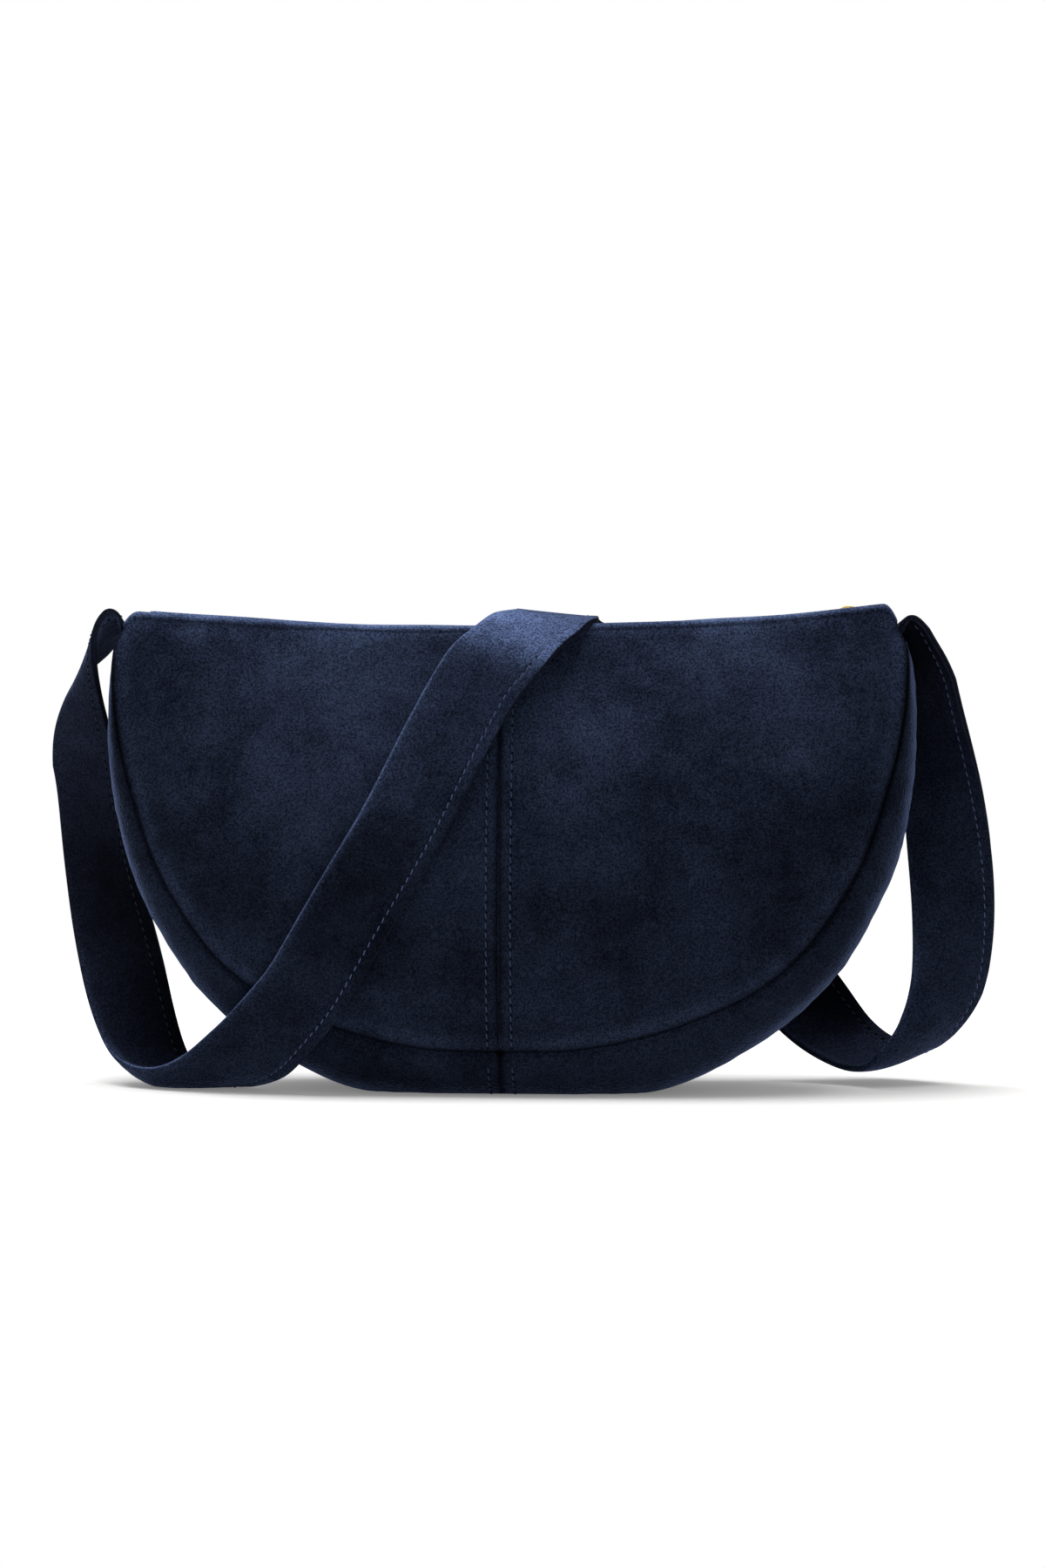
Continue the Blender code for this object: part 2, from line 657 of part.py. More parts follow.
def make_right_tab(name):
    tab = add_part(name, tab_mesh(name, MOUTH_RIGHT_X + GAP, HALF_WIDTH - TAB_CORNER_OFFSET, 4),
                   SUEDE_BLUE, 0.95)
    solidify(tab, STRIP_THICKNESS)
    return tab


def make_left_tab(name):
    """The left tab has a slot for the short end of the zip that the open slider rests on."""
    mesh = tab_mesh(name, -(HALF_WIDTH - TAB_CORNER_OFFSET), MOUTH_LEFT_X - GAP, 10)
    tab = add_part(name, mesh, SUEDE_BLUE, 0.95)
    solidify(tab, STRIP_THICKNESS)
    slot_end = BOTTOM_STOP_X - STOP_LENGTH / 2 - GAP
    bm = bmesh.new()
    over = SLIDER_LENGTH
    length = MOUTH_LEFT_X - slot_end + over
    size = (length, 2 * STRIP_HALF_INNER, 2 * over)
    box_into(bm, size, Vector((slot_end + length / 2, 0, rim_z(slot_end))))
    slot = bpy.data.meshes.new("left_tab_slot")
    bm.to_mesh(slot)
    bm.free()
    cutter = add_part("left_tab_slot", slot, SUEDE_BLUE, 0.95, collection=CUTTERS)
    boolean(tab, cutter, "DIFFERENCE")
    return tab


# Slider and pull

def slider_place():
    """Turn and place of the slider's own axes: X along the zip, Z up from the chain."""
    x = SLIDER_REST_X
    return Matrix.Translation((x, 0, rim_z(x) + CHAIN_LEVEL)) @ Matrix.Rotation(rim_tilt(x), 4, "Y")


ZIP_TURN_CENTRE = Vector((RIM_LOW_X, 0, BAG_HEIGHT + RIM_RADIUS))


def carriage(name, location):
    """An empty that holds a moving piece on its joint's axis."""
    empty = bpy.data.objects.new(name, None)
    PARTS.objects.link(empty)
    empty.location = location
    return empty


def hang_on(thing, empty):
    thing.parent = empty
    thing.matrix_parent_inverse = Matrix.Translation(-empty.location)


def plate_outline(level, thickness):
    """A slider plate: a little wider at the nose than at the tail, with cut corners."""
    half, cut = SLIDER_LENGTH / 2, SLIDER_LENGTH / 8
    nose, tail = SLIDER_NOSE_WIDTH / 2, SLIDER_TAIL_WIDTH / 2
    outline = [(half, nose - cut), (half - cut, nose), (-half + cut, tail), (-half, tail - cut)]
    outline += [(x, -y) for x, y in reversed(outline)]
    bm = bmesh.new()
    ring = [bm.verts.new((x, y, level)) for x, y in outline]
    face = bm.faces.new(ring)
    raised = bmesh.ops.extrude_face_region(bm, geom=[face])
    moved = [v for v in raised["geom"] if isinstance(v, bmesh.types.BMVert)]
    bmesh.ops.translate(bm, verts=moved, vec=(0, 0, thickness))
    bmesh.ops.recalc_face_normals(bm, faces=bm.faces)
    return bm


def from_bmesh(name, bm, place):
    mesh = bpy.data.meshes.new(name)
    bm.to_mesh(mesh)
    bm.free()
    mesh.transform(place)
    return mesh


def bail_mesh(name, place):
    """The arch over the slider that the pull hangs on: a bent flat bar."""
    steps = 8
    half = BAIL_SPAN / 2
    foot = SLIDER_CHANNEL / 2 + SLIDER_PLATE / 2
    rise = BAIL_TOP - BAIL_THICKNESS - foot
    bm = bmesh.new()
    rings = []
    for i in range(steps + 1):
        angle = math.pi * i / steps
        cosine, sine = math.cos(angle), math.sin(angle) ** 0.6
        ring = []
        for grow, across in ((0, -1), (0, 1), (1, 1), (1, -1)):
            x = (half + grow * BAIL_THICKNESS) * cosine
            z = foot + (rise + grow * BAIL_THICKNESS) * sine
            ring.append(bm.verts.new((x, across * BAIL_WIDTH / 2, z)))
        rings.append(ring)
    for a, b in zip(rings, rings[1:]):
        for i in range(4):
            j = (i + 1) % 4
            bm.faces.new((a[i], a[j], b[j], b[i]))
    bm.faces.new(rings[0])
    bm.faces.new(rings[-1])
    bmesh.ops.recalc_face_normals(bm, faces=bm.faces)
    return from_bmesh(name, bm, place)


def make_slider(name):
    """Two plates joined by a wedge at the nose, lips that hold the teeth, and the bail."""
    place = slider_place()
    inner = SLIDER_CHANNEL / 2
    top = plate_outline(inner, SLIDER_PLATE)
    slider = add_part(name, from_bmesh(name, top, place), BRASS, 0.3, 1.0)
    bottom = plate_outline(-inner - SLIDER_PLATE, SLIDER_PLATE)
    pieces = {"bottom": from_bmesh("slider_bottom", bottom, place)}
    half = SLIDER_LENGTH / 2
    bm = bmesh.new()
    wedge_x = half - WEDGE_FROM_NOSE - WEDGE_LENGTH / 2
    box_into(bm, (WEDGE_LENGTH, WEDGE_WIDTH, SLIDER_CHANNEL + SLIDER_PLATE), Vector((wedge_x, 0, 0)))
    pieces["wedge"] = from_bmesh("slider_wedge", bm, place)
    lip_y = SLIDER_TAIL_WIDTH / 2 - SLIDER_LIP_WIDTH / 2
    for level in (-1, 1):
        bm = bmesh.new()
        for side in (-1, 1):
            height = SLIDER_LIP + SLIDER_PLATE / 2
            centre = Vector((0, side * lip_y, level * (inner - SLIDER_LIP + height / 2)))
            box_into(bm, (SLIDER_LENGTH * 3 / 4, SLIDER_LIP_WIDTH, height), centre)
        pieces[f"lips_{level}"] = from_bmesh("slider_lips", bm, place)
    pieces["bail"] = bail_mesh("slider_bail", place)
    for piece, mesh in pieces.items():
        cutter = add_part(f"slider_{piece}_shape", mesh, BRASS, 0.3, 1.0, collection=CUTTERS)
        boolean(slider, cutter, "UNION")
    return slider


PULL_AXIS_RISE = PULL_AXIS_SHARE * BAIL_TOP


def pull_axis():
    """The pull turns on its own bar, inside the bail."""
    return slider_place() @ Vector((0, 0, PULL_AXIS_RISE))


def flat_outline(name, outline, holes, thickness):
    """A flat piece from a filled 2D curve, its middle plane at height zero."""
    curve = bpy.data.curves.new(name, "CURVE")
    curve.dimensions = "2D"
    curve.fill_mode = "BOTH"
    curve.extrude = thickness / 2
    for ring in [outline, *holes]:
        spline = curve.splines.new("POLY")
        spline.points.add(len(ring) - 1)
        for point, (x, y) in zip(spline.points, ring):
            point.co = (x, y, 0, 1)
        spline.use_cyclic_u = True
    holder = bpy.data.objects.new(name, curve)
    bpy.context.scene.collection.objects.link(holder)
    bpy.context.view_layer.update()
    graph = bpy.context.evaluated_depsgraph_get()
    mesh = bpy.data.meshes.new_from_object(holder.evaluated_get(graph))
    bpy.data.objects.remove(holder)
    bm = bmesh.new()
    bm.from_mesh(mesh)
    bmesh.ops.remove_doubles(bm, verts=bm.verts, dist=GAP / 100)
    bmesh.ops.recalc_face_normals(bm, faces=bm.faces)
    bm.to_mesh(mesh)
    bm.free()
    mesh.materials.clear()
    return mesh


def arc_points(centre, radius, first, last, count):
    angles = np.linspace(math.radians(first), math.radians(last), count)
    return [(centre[0] + radius * math.cos(a), centre[1] + radius * math.sin(a)) for a in angles]


def make_pull(name):
    """A flat tab that lies back over the closed zip, with a window round the bail."""
    half, radius = PULL_WIDTH / 2, PULL_WIDTH / 2
    bar = PULL_BAR / 2
    far = -(PULL_LENGTH - radius)
    outline = [(bar, -half), (bar, half)] + arc_points((far, 0), radius, 90, 270, 9)
    side = (PULL_WIDTH - BAIL_WIDTH) / 2 - GAP
    window_half = half - side
    window = [(-bar, -window_half), (-bar, window_half)]
    window += [(-bar - PULL_WINDOW, window_half), (-bar - PULL_WINDOW, -window_half)]
    hole = arc_points((far, 0), PULL_HOLE_RADIUS, 0, 315, 8)
    mesh = flat_outline(name, outline, [window, hole], PULL_THICKNESS)
    mesh.transform(Matrix.Translation(pull_axis()) @ Matrix.Rotation(rim_tilt(SLIDER_REST_X), 4, "Y"))
    return add_part(name, mesh, BRASS, 0.3, 1.0)


# Strap

def surface_half_depth(x, z):
    """Half depth of the bag's front or back at a place in its front view."""
    side = -1 if x < SEAM_X else 1
    pole_x = SEAM_X
    pole_z = panel_top_z(side, pole_x)
    angle = math.atan2(max(pole_z - z, 0.0), abs(x - pole_x))
    edge_x = np.array([side_x(side, share, 0.0) for share in SEAM_LINE[:, 0]])
    edge_z = BAG_HEIGHT * SEAM_LINE[:, 1]
    angles = np.arctan2(pole_z - edge_z, np.abs(edge_x - pole_x))
    share = float(np.interp(angle, angles[::-1], LINE_PLACES[::-1]))
    seam_share = on_line(SEAM_LINE, share)
    rx, rz = side_x(side, seam_share[0], 0.0) - pole_x, BAG_HEIGHT * seam_share[1] - pole_z
    full = math.hypot(rx, rz)
    reach = math.hypot(x - pole_x, z - pole_z) / full
    below = panel_top_z(side, x) - z
    depth = panel_depth(x, min(reach, 1.0), share, below, (1 - reach) * full)
    return max(depth, gusset_half_depth(share) + EDGE_WALL)


def laid_station(face, x, z, lean_x, lean_z):
    """A strap station that lies on the front (-1) or back (1) panel."""
    half = STRAP_WIDTH / 2
    depths = [surface_half_depth(x + k * half * lean_x, z + k * half * lean_z) for k in (-1, 0, 1)]
    lean_y = face * (depths[2] - depths[0]) / STRAP_WIDTH
    middle = max(depths[1], (depths[0] + depths[2]) / 2)
    y = face * (middle + STRAP_LAY_CLEAR + STRAP_THICKNESS / 2)
    return [x, y, z, lean_x, lean_y, lean_z, 0]


FULL_HALF_DEPTH = BASE_HALF_DEPTH + EDGE_WALL + PANEL_PUFF / 2


def route_stations():
    """Every strap station as [x, y, z, the direction from sewn to folded edge, bow]."""
    def spread(rows):
        return [[x * HALF_WIDTH, y * FULL_HALF_DEPTH, z * BAG_HEIGHT, a, b, c, bow]
                for x, y, z, a, b, c, bow in rows]

    def laid(rows, face):
        return [laid_station(face, x * HALF_WIDTH, z * BAG_HEIGHT, a, c) for x, z, a, c in rows]

    def tail(side):
        turn = side * STRAP_TAIL_X
        base = BAG_HEIGHT * on_line(OUTER_LINE, GUSSET_TOP_SHARE)[1]
        return [[turn, 0, base - STRAP_TAIL_DEPTH, 0, 1, 0, 0], [turn, 0, base, 0, 1, 0, 0],
                [turn, 0, base + STRAP_TAIL_RISE, 0, 1, 0, 0]]

    stations = tail(-1) + spread(LEFT_DROP_SHARES) + laid(FRONT_RUN_SHARES, -1)
    stations += spread(OVER_RIM_SHARES) + laid(BACK_RUN_SHARES, 1) + spread(RIGHT_RISE_SHARES)
    return stations + tail(1)[::-1]


def strap_edges():
    """Middle points between the strap's edges, half of the line from its sewn to its folded edge
    there, and the bow of the strap off that line."""
    stations = route_stations()
    rows = smooth_curve(stations, STRAP_STEPS * (len(stations) - 1) + 1)
    middle, lean, bow = rows[:, :3], rows[:, 3:6], rows[:, 6:]
    run = np.gradient(middle, axis=0)
    run /= np.linalg.norm(run, axis=1)[:, None]
    lean /= np.linalg.norm(lean, axis=1)[:, None]
    along = (lean * run).sum(axis=1)
    square = np.maximum(np.sqrt(1 - along ** 2), STRAP_LEAST_SLANT_SHARE)
    arc = 1 + 8 / 3 * bow ** 2
    half = STRAP_WIDTH / 2 * lean / square[:, None] / arc
    out = np.cross(run, lean)
    out /= np.linalg.norm(out, axis=1)[:, None]
    return middle, half, STRAP_WIDTH * bow * out


def make_strap(name):
    middle, half, bow = strap_edges()
    count = len(middle) - 1
    lowest = (STRAP_THICKNESS + GAP) / 2

    def place(u, v):
        i = round(v * count)
        k = 2 * u - 1
        point = Vector(middle[i] + k * half[i] + (1 - k * k) * (1 + STRAP_CURL_SHARE * k) * bow[i])
        point.z = max(point.z, lowest)
        return point

    mesh = mapped_grid(name, STRAP_CELLS, count, place)
    strap = add_part(name, mesh, STRAP_BLUE, 0.95)
    solidify(strap, STRAP_THICKNESS, offset=0.0)
    shade(strap)
    return strap


def build():
    for face, face_name in ((-1, "front"), (1, "back")):
        for side, side_name in ((-1, "left"), (1, "right")):
            make_panel(f"{face_name}_panel_{side_name}", face, side)
    for side, side_name in ((-1, "left"), (1, "right")):
        make_gusset(f"gusset_{side_name}", side)
    make_lining_panel("lining_front", -1)
    make_lining_panel("lining_back", 1)
    make_lining_gusset("lining_gusset")
    hinge_low = BAG_HEIGHT + STRIP_TOP - STRIP_THICKNESS
    bead_end = BOTTOM_STOP_X + STOP_LENGTH / 2 + GAP
    tape_end = BOTTOM_STOP_X - STOP_LENGTH
    for face, face_name in ((-1, "front"), (1, "back")):
        mouth = carriage(f"mouth_{face_name}_axis", Vector((0, face * STRIP_HALF_OUTER, hinge_low)))
        hang_on(make_strip(f"zip_strip_{face_name}", face), mouth)
        hang_on(make_tape(f"zip_tape_{face_name}", face, CHAIN_LEFT_X, MOUTH_RIGHT_X), mouth)
        hang_on(make_teeth(f"zip_teeth_{face_name}", face, CHAIN_LEFT_X, TEETH_RIGHT_X), mouth)
        ends = sorted((face * BEAD_HALF_INNER, face * TOOTH_ROOT))
        hang_on(make_stop(f"zip_top_stop_{face_name}", TOP_STOP_X, *ends), mouth)
        make_tape(f"zip_end_tape_{face_name}", face, tape_end, CHAIN_LEFT_X - GAP, cells=3)
        make_teeth(f"zip_end_teeth_{face_name}", face, bead_end, CHAIN_LEFT_X - GAP, cells=2)
    make_stop("zip_bottom_stop", BOTTOM_STOP_X, -TOOTH_ROOT, TOOTH_ROOT)
    make_left_tab("zip_end_tab_left")
    make_right_tab("zip_end_tab_right")
    travel = carriage("zip_travel_axis", ZIP_TURN_CENTRE)
    hang_on(make_slider("zip_slider"), travel)
    swing = carriage("zip_pull_axis", pull_axis())
    hang_on(make_pull("zip_pull"), swing)
    make_strap("shoulder_strap")


build()
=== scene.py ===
"""Half-moon suede shoulder bag: its soft surfaces, stitching, zip and materials.

+X is to the viewer's right, -Y is the front, +Z is up, and lengths are in metres. The sizes,
the outlines and the strap's stations repeat those of the part's source, apart from the corners'
round and the strap's last two stations at the right corner. Here the strap's line is also evened,
and the gusset's two halves meet at the centre seam.
"""

import math
from contextlib import contextmanager

import bmesh
import bpy
import numpy as np
from mathutils import Matrix, Vector, noise
from mathutils.bvhtree import BVHTree
from mathutils.kdtree import KDTree


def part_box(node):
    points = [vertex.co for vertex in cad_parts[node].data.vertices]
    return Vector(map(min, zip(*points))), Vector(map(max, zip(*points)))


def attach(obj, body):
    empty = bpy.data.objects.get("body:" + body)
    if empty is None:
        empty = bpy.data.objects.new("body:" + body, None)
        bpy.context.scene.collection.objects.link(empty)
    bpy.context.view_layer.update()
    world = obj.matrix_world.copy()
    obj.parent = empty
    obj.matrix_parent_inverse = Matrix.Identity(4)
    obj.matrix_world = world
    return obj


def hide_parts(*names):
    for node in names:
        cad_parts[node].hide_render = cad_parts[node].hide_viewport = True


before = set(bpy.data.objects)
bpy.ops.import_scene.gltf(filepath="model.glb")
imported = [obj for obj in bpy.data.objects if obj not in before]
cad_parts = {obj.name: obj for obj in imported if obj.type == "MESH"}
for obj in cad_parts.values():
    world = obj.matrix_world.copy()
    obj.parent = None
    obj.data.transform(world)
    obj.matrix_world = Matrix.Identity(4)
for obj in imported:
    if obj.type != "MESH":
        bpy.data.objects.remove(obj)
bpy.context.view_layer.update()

# Camera
CAMERA_PLACE = Vector((0.1228, -1.6946, 0.1914))
CAMERA_TURN = math.radians(4.0)
CAMERA_PITCH = math.radians(2.2)
CAMERA_LENS_MM = 94.44
CAMERA_SENSOR_MM = 36.0

# Sizes of the bag body
HALF_WIDTH = 0.1663
BAG_HEIGHT = 0.1915
BASE_HALF_DEPTH = 0.036
PANEL_PUFF = 0.0165
PUFF_REACH = 0.090
RIM_SLOPE_REACH = 0.120
SEAM_X = -0.0023
FLOOR_SAG = 0.0025
FLOOR_SAG_REACH = 0.030
RIM_RADIUS = 1.55
RIM_LOW_X = -0.012
RIM_HALF_DEPTH = 0.025
RIM_CORNER_HALF_DEPTH = 0.022
RIM_TAPER_START = 0.110
RIM_TAPER_END = 0.150
CREST_RADIUS = 0.003
CORNER_ROUND_START = 0.1520
FLANGE_DROP = 0.003
SUEDE = 0.0013
LINING = 0.0006
GAP = 0.0003
EDGE_WALL = 0.002
EDGE_WALL_RISE_SHARE = 0.25
EDGE_WALL_START_SHARE = 0.9
SIDES = ((-1, "left"), (1, "right"))
FACES = ((-1, "front"), (1, "back"))

# Sizes of the zip
STRIP_HALF_OUTER = 0.017
STRIP_HALF_INNER = 0.007
STRIP_THICKNESS = 0.001
STRIP_SLOPE_DROP = 0.0006
MOUTH_LEFT_X = -0.112
MOUTH_RIGHT_X = 0.145
TAPE_HALF_OUTER = 0.013
TAPE_HALF_INNER = 0.0019
TAPE_THICKNESS = 0.0005
TOOTH_PITCH = 0.0036
TOOTH_LENGTH = 0.0015
TOOTH_OVERLAP = 0.0005
TOOTH_THICKNESS = 0.002
BEAD_THICKNESS = 0.0012

# Sizes of the strap
STRAP_WIDTH = 0.035
STRAP_THICKNESS = 0.0028
STRAP_TAIL_X = 0.1588
STRAP_TAIL_DEPTH = 0.011
STRAP_TAIL_RISE = 0.0043
STRAP_LAY_CLEAR = 0.0012
STRAP_LEAST_SLANT_SHARE = 0.88
STRAP_CURL_SHARE = 0.6
GUSSET_TOP_SHARE = 0.938
GUSSET_SQUARENESS = 3
LINING_TOP_SHARE = 0.86

OUTER_SHARES = [
    (0.0, 0.0), (0.216, 0.002), (0.385, 0.016), (0.541, 0.070), (0.686, 0.144),
    (0.800, 0.243), (0.887, 0.358), (0.947, 0.478), (0.983, 0.595), (1.0, 0.731),
    (0.997, 0.851), (0.982, 0.950), (0.953, 1.002),
]
PANEL_SEAM_SHARES = [
    (0.0, 0.097), (0.180, 0.102), (0.349, 0.131), (0.493, 0.175), (0.613, 0.227),
    (0.716, 0.300), (0.803, 0.399), (0.869, 0.501), (0.912, 0.608), (0.950, 0.731),
    (0.971, 0.851), (0.973, 0.948), (0.951, 0.995),
]
GUSSET_DEPTH_SHARES = [
    1.0, 1.0, 1.0, 0.986, 0.972, 0.944, 0.903, 0.861, 0.819, 0.764, 0.708, 0.653, 0.611,
]
LEFT_DROP_SHARES = [
    (-0.985, -0.02, 1.000, -0.12, 0.94, -0.34, 0.0),
    (-1.015, -0.02, 0.984, -0.16, 0.87, -0.46, 0.0),
    (-1.046, 0.00, 0.960, -0.22, 0.86, -0.48, 0.0),
    (-1.073, 0.06, 0.923, -0.32, 0.84, -0.46, 0.0),
    (-1.096, 0.20, 0.874, -0.46, 0.80, -0.40, 0.0),
    (-1.112, 0.42, 0.812, -0.61, 0.71, -0.36, 0.0),
    (-1.114, 0.63, 0.742, -0.71, 0.62, -0.33, 0.0),
    (-1.103, 0.76, 0.652, -0.80, 0.55, -0.25, 0.0),
    (-1.083, 0.80, 0.527, -0.90, 0.42, -0.15, 0.0),
    (-1.051, 0.68, 0.394, -0.95, 0.30, -0.08, 0.0),
    (-1.014, 0.51, 0.288, -0.97, 0.10, -0.06, 0.03),
    (-0.978, 0.35, 0.180, -0.94, -0.20, 0.04, 0.08),
    (-0.938, 0.20, 0.090, -0.88, -0.40, 0.15, 0.13),
    (-0.892, 0.06, 0.042, -0.84, -0.48, 0.22, 0.15),
    (-0.836, -0.08, 0.024, -0.83, -0.50, 0.24, 0.15),
    (-0.777, -0.23, 0.026, -0.83, -0.48, 0.26, 0.13),
    (-0.715, -0.39, 0.045, -0.84, -0.38, 0.34, 0.09),
    (-0.660, -0.57, 0.074, -0.85, -0.22, 0.45, 0.05),
    (-0.609, -0.72, 0.108, -0.84, -0.08, 0.53, 0.02),
    (-0.550, -0.86, 0.163, -0.84, 0.02, 0.55, 0.0),
]
FRONT_RUN_SHARES = [
    (-0.487, 0.225, -0.86, 0.51), (-0.433, 0.305, -0.86, 0.51), (-0.335, 0.451, -0.86, 0.51),
    (-0.247, 0.577, -0.88, 0.47), (-0.179, 0.702, -0.90, 0.42), (-0.114, 0.810, -0.92, 0.38),
    (-0.058, 0.896, -0.93, 0.36), (0.000, 0.950, -0.93, 0.33),
]
OVER_RIM_SHARES = [
    (0.048, -0.655, 0.993, -0.93, 0.22, 0.25, 0.0), (0.084, -0.545, 1.011, -0.92, 0.32, 0.18, 0.0),
    (0.112, -0.37, 1.021, -0.92, 0.39, 0.12, 0.0), (0.112, -0.13, 1.022, -0.94, 0.32, 0.09, 0.0),
    (0.108, 0.11, 1.019, -0.98, 0.17, 0.07, 0.0), (0.104, 0.325, 1.017, -1.00, 0.06, 0.04, 0.0),
    (0.100, 0.520, 1.014, -1.00, 0.00, 0.01, 0.0), (0.108, 0.655, 0.986, -0.97, -0.06, -0.15, 0.0),
]
BACK_RUN_SHARES = [
    (0.152, 0.950, -0.93, -0.33), (0.200, 0.896, -0.91, -0.38), (0.270, 0.810, -0.88, -0.46),
    (0.355, 0.690, -0.86, -0.50), (0.440, 0.570, -0.86, -0.51), (0.520, 0.455, -0.86, -0.51),
    (0.595, 0.345, -0.86, -0.51),
]
RIGHT_RISE_SHARES = [
    (0.662, 1.03, 0.252, -0.86, -0.04, -0.51, 0.0),
    (0.712, 1.00, 0.193, -0.84, -0.10, -0.50, 0.02),
    (0.760, 0.99, 0.140, -0.80, -0.35, -0.37, 0.04),
    (0.808, 0.93, 0.097, -0.80, -0.50, -0.22, 0.06),
    (0.866, 0.82, 0.067, -0.80, -0.55, -0.18, 0.07),
    (0.922, 0.68, 0.053, -0.81, -0.55, -0.18, 0.06),
    (0.967, 0.55, 0.061, -0.81, -0.54, -0.19, 0.05),
    (1.001, 0.46, 0.089, -0.81, -0.53, -0.20, 0.04),
    (1.036, 0.42, 0.125, -0.82, -0.52, -0.20, 0.05),
    (1.065, 0.40, 0.168, -0.83, -0.50, -0.20, 0.06),
    (1.084, 0.40, 0.223, -0.87, -0.42, -0.18, 0.08),
    (1.094, 0.40, 0.283, -0.91, -0.32, -0.14, 0.08),
    (1.097, 0.40, 0.386, -0.96, -0.12, -0.10, 0.08),
    (1.088, 0.40, 0.499, -0.97, 0.08, -0.06, 0.06),
    (1.075, 0.38, 0.605, -0.91, 0.36, -0.05, 0.04),
    (1.067, 0.36, 0.690, -0.77, 0.62, -0.10, 0.0),
    (1.057, 0.34, 0.766, -0.62, 0.76, -0.16, 0.0),
    (1.042, 0.30, 0.840, -0.49, 0.84, -0.24, 0.0),
    (1.031, 0.19, 0.897, -0.32, 0.90, -0.30, 0.0),
    (1.017, 0.11, 0.936, -0.18, 0.92, -0.32, 0.0),
    (0.997, 0.04, 0.974, -0.17, 0.94, -0.27, 0.0),
    (0.971, 0.02, 1.012, -0.12, 0.97, -0.13, 0.0),
]


# Camera, floor and light

def make_camera():
    data = bpy.data.cameras.new("camera")
    data.lens = CAMERA_LENS_MM
    data.sensor_width = CAMERA_SENSOR_MM
    camera = link("camera", data)
    level = math.cos(CAMERA_PITCH)
    ahead = Vector((-math.sin(CAMERA_TURN) * level, math.cos(CAMERA_TURN) * level,
                    -math.sin(CAMERA_PITCH)))
    camera.location = CAMERA_PLACE
    camera.rotation_euler = ahead.to_track_quat("-Z", "Y").to_euler()
    bpy.context.scene.camera = camera


def feed(socket, value):
    """Gives a node's input a value, or links it to another node's output."""
    if isinstance(value, bpy.types.NodeSocket):
        socket.id_data.links.new(value, socket)
    else:
        socket.default_value = (*value, 1.0) if isinstance(value, tuple) else value


def add_node(tree, kind, inputs=(), **settings):
    """A shader node with its settings made first, and then its inputs fed."""
    made = tree.nodes.new(f"ShaderNode{kind}")
    for name, value in settings.items():
        setattr(made, name, value)
    for place, value in dict(inputs).items():
        feed(made.inputs[place], value)
    return made


def seen_directly(tree):
    """A socket that is 1 for rays from the camera, a mirror or glass, and 0 for the light's own."""
    rays = add_node(tree, "LightPath").outputs
    seen = rays["Is Camera Ray"]
    for kind in ("Is Glossy Ray", "Is Transmission Ray"):
        seen = add_node(tree, "Math", {0: seen, 1: rays[kind]}, operation="MAXIMUM").outputs[0]
    return seen


WHITE = (1.0, 1.0, 1.0)
ROOM_LIGHT = 0.31
FLOOR_COLOUR = (0.97, 0.96, 0.95)
FLOOR_GLOW = 0.18
FLOOR_RADIUS = 0.62
LAMP_WATTS = 26.0
LAMP_SIZE = (1.6, 1.1)
LAMP_PLACE = Vector((-0.20, -0.05, 1.35))


def make_world():
    world = bpy.data.worlds.new("studio")
    bpy.context.scene.world = world
    world.use_nodes = True
    tree = world.node_tree
    tree.nodes.clear()
    light = add_node(tree, "Background", {"Color": WHITE, "Strength": ROOM_LIGHT}).outputs[0]
    white = add_node(tree, "Background", {"Color": WHITE}).outputs[0]
    mix = add_node(tree, "MixShader", {0: seen_directly(tree), 1: light, 2: white})
    add_node(tree, "OutputWorld", {"Surface": mix.outputs[0]})


def make_floor():
    bpy.ops.mesh.primitive_circle_add(vertices=128, radius=FLOOR_RADIUS, fill_type="NGON",
                                      location=(0, 0, -GAP / 2))
    floor = bpy.context.object
    floor.name = "floor"
    paint = bpy.data.materials.new("floor")
    paint.use_nodes = True
    tree = paint.node_tree
    tree.nodes.clear()
    matt = add_node(tree, "BsdfDiffuse", {"Color": FLOOR_COLOUR}).outputs[0]
    strength = add_node(tree, "Math", {0: seen_directly(tree), 1: FLOOR_GLOW}, operation="MULTIPLY")
    glow = add_node(tree, "Emission", {"Strength": strength.outputs[0]}).outputs[0]
    both = add_node(tree, "AddShader", {0: matt, 1: glow})
    add_node(tree, "OutputMaterial", {"Surface": both.outputs[0]})
    floor.data.materials.append(paint)


def make_lamp():
    data = bpy.data.lights.new("overhead", "AREA")
    data.shape = "RECTANGLE"
    data.size, data.size_y = LAMP_SIZE
    data.energy = LAMP_WATTS
    link("overhead", data).location = LAMP_PLACE


# Materials

# How far Blender's stripes turn over each unit of length, in radians
STRIPE_TURN = 20


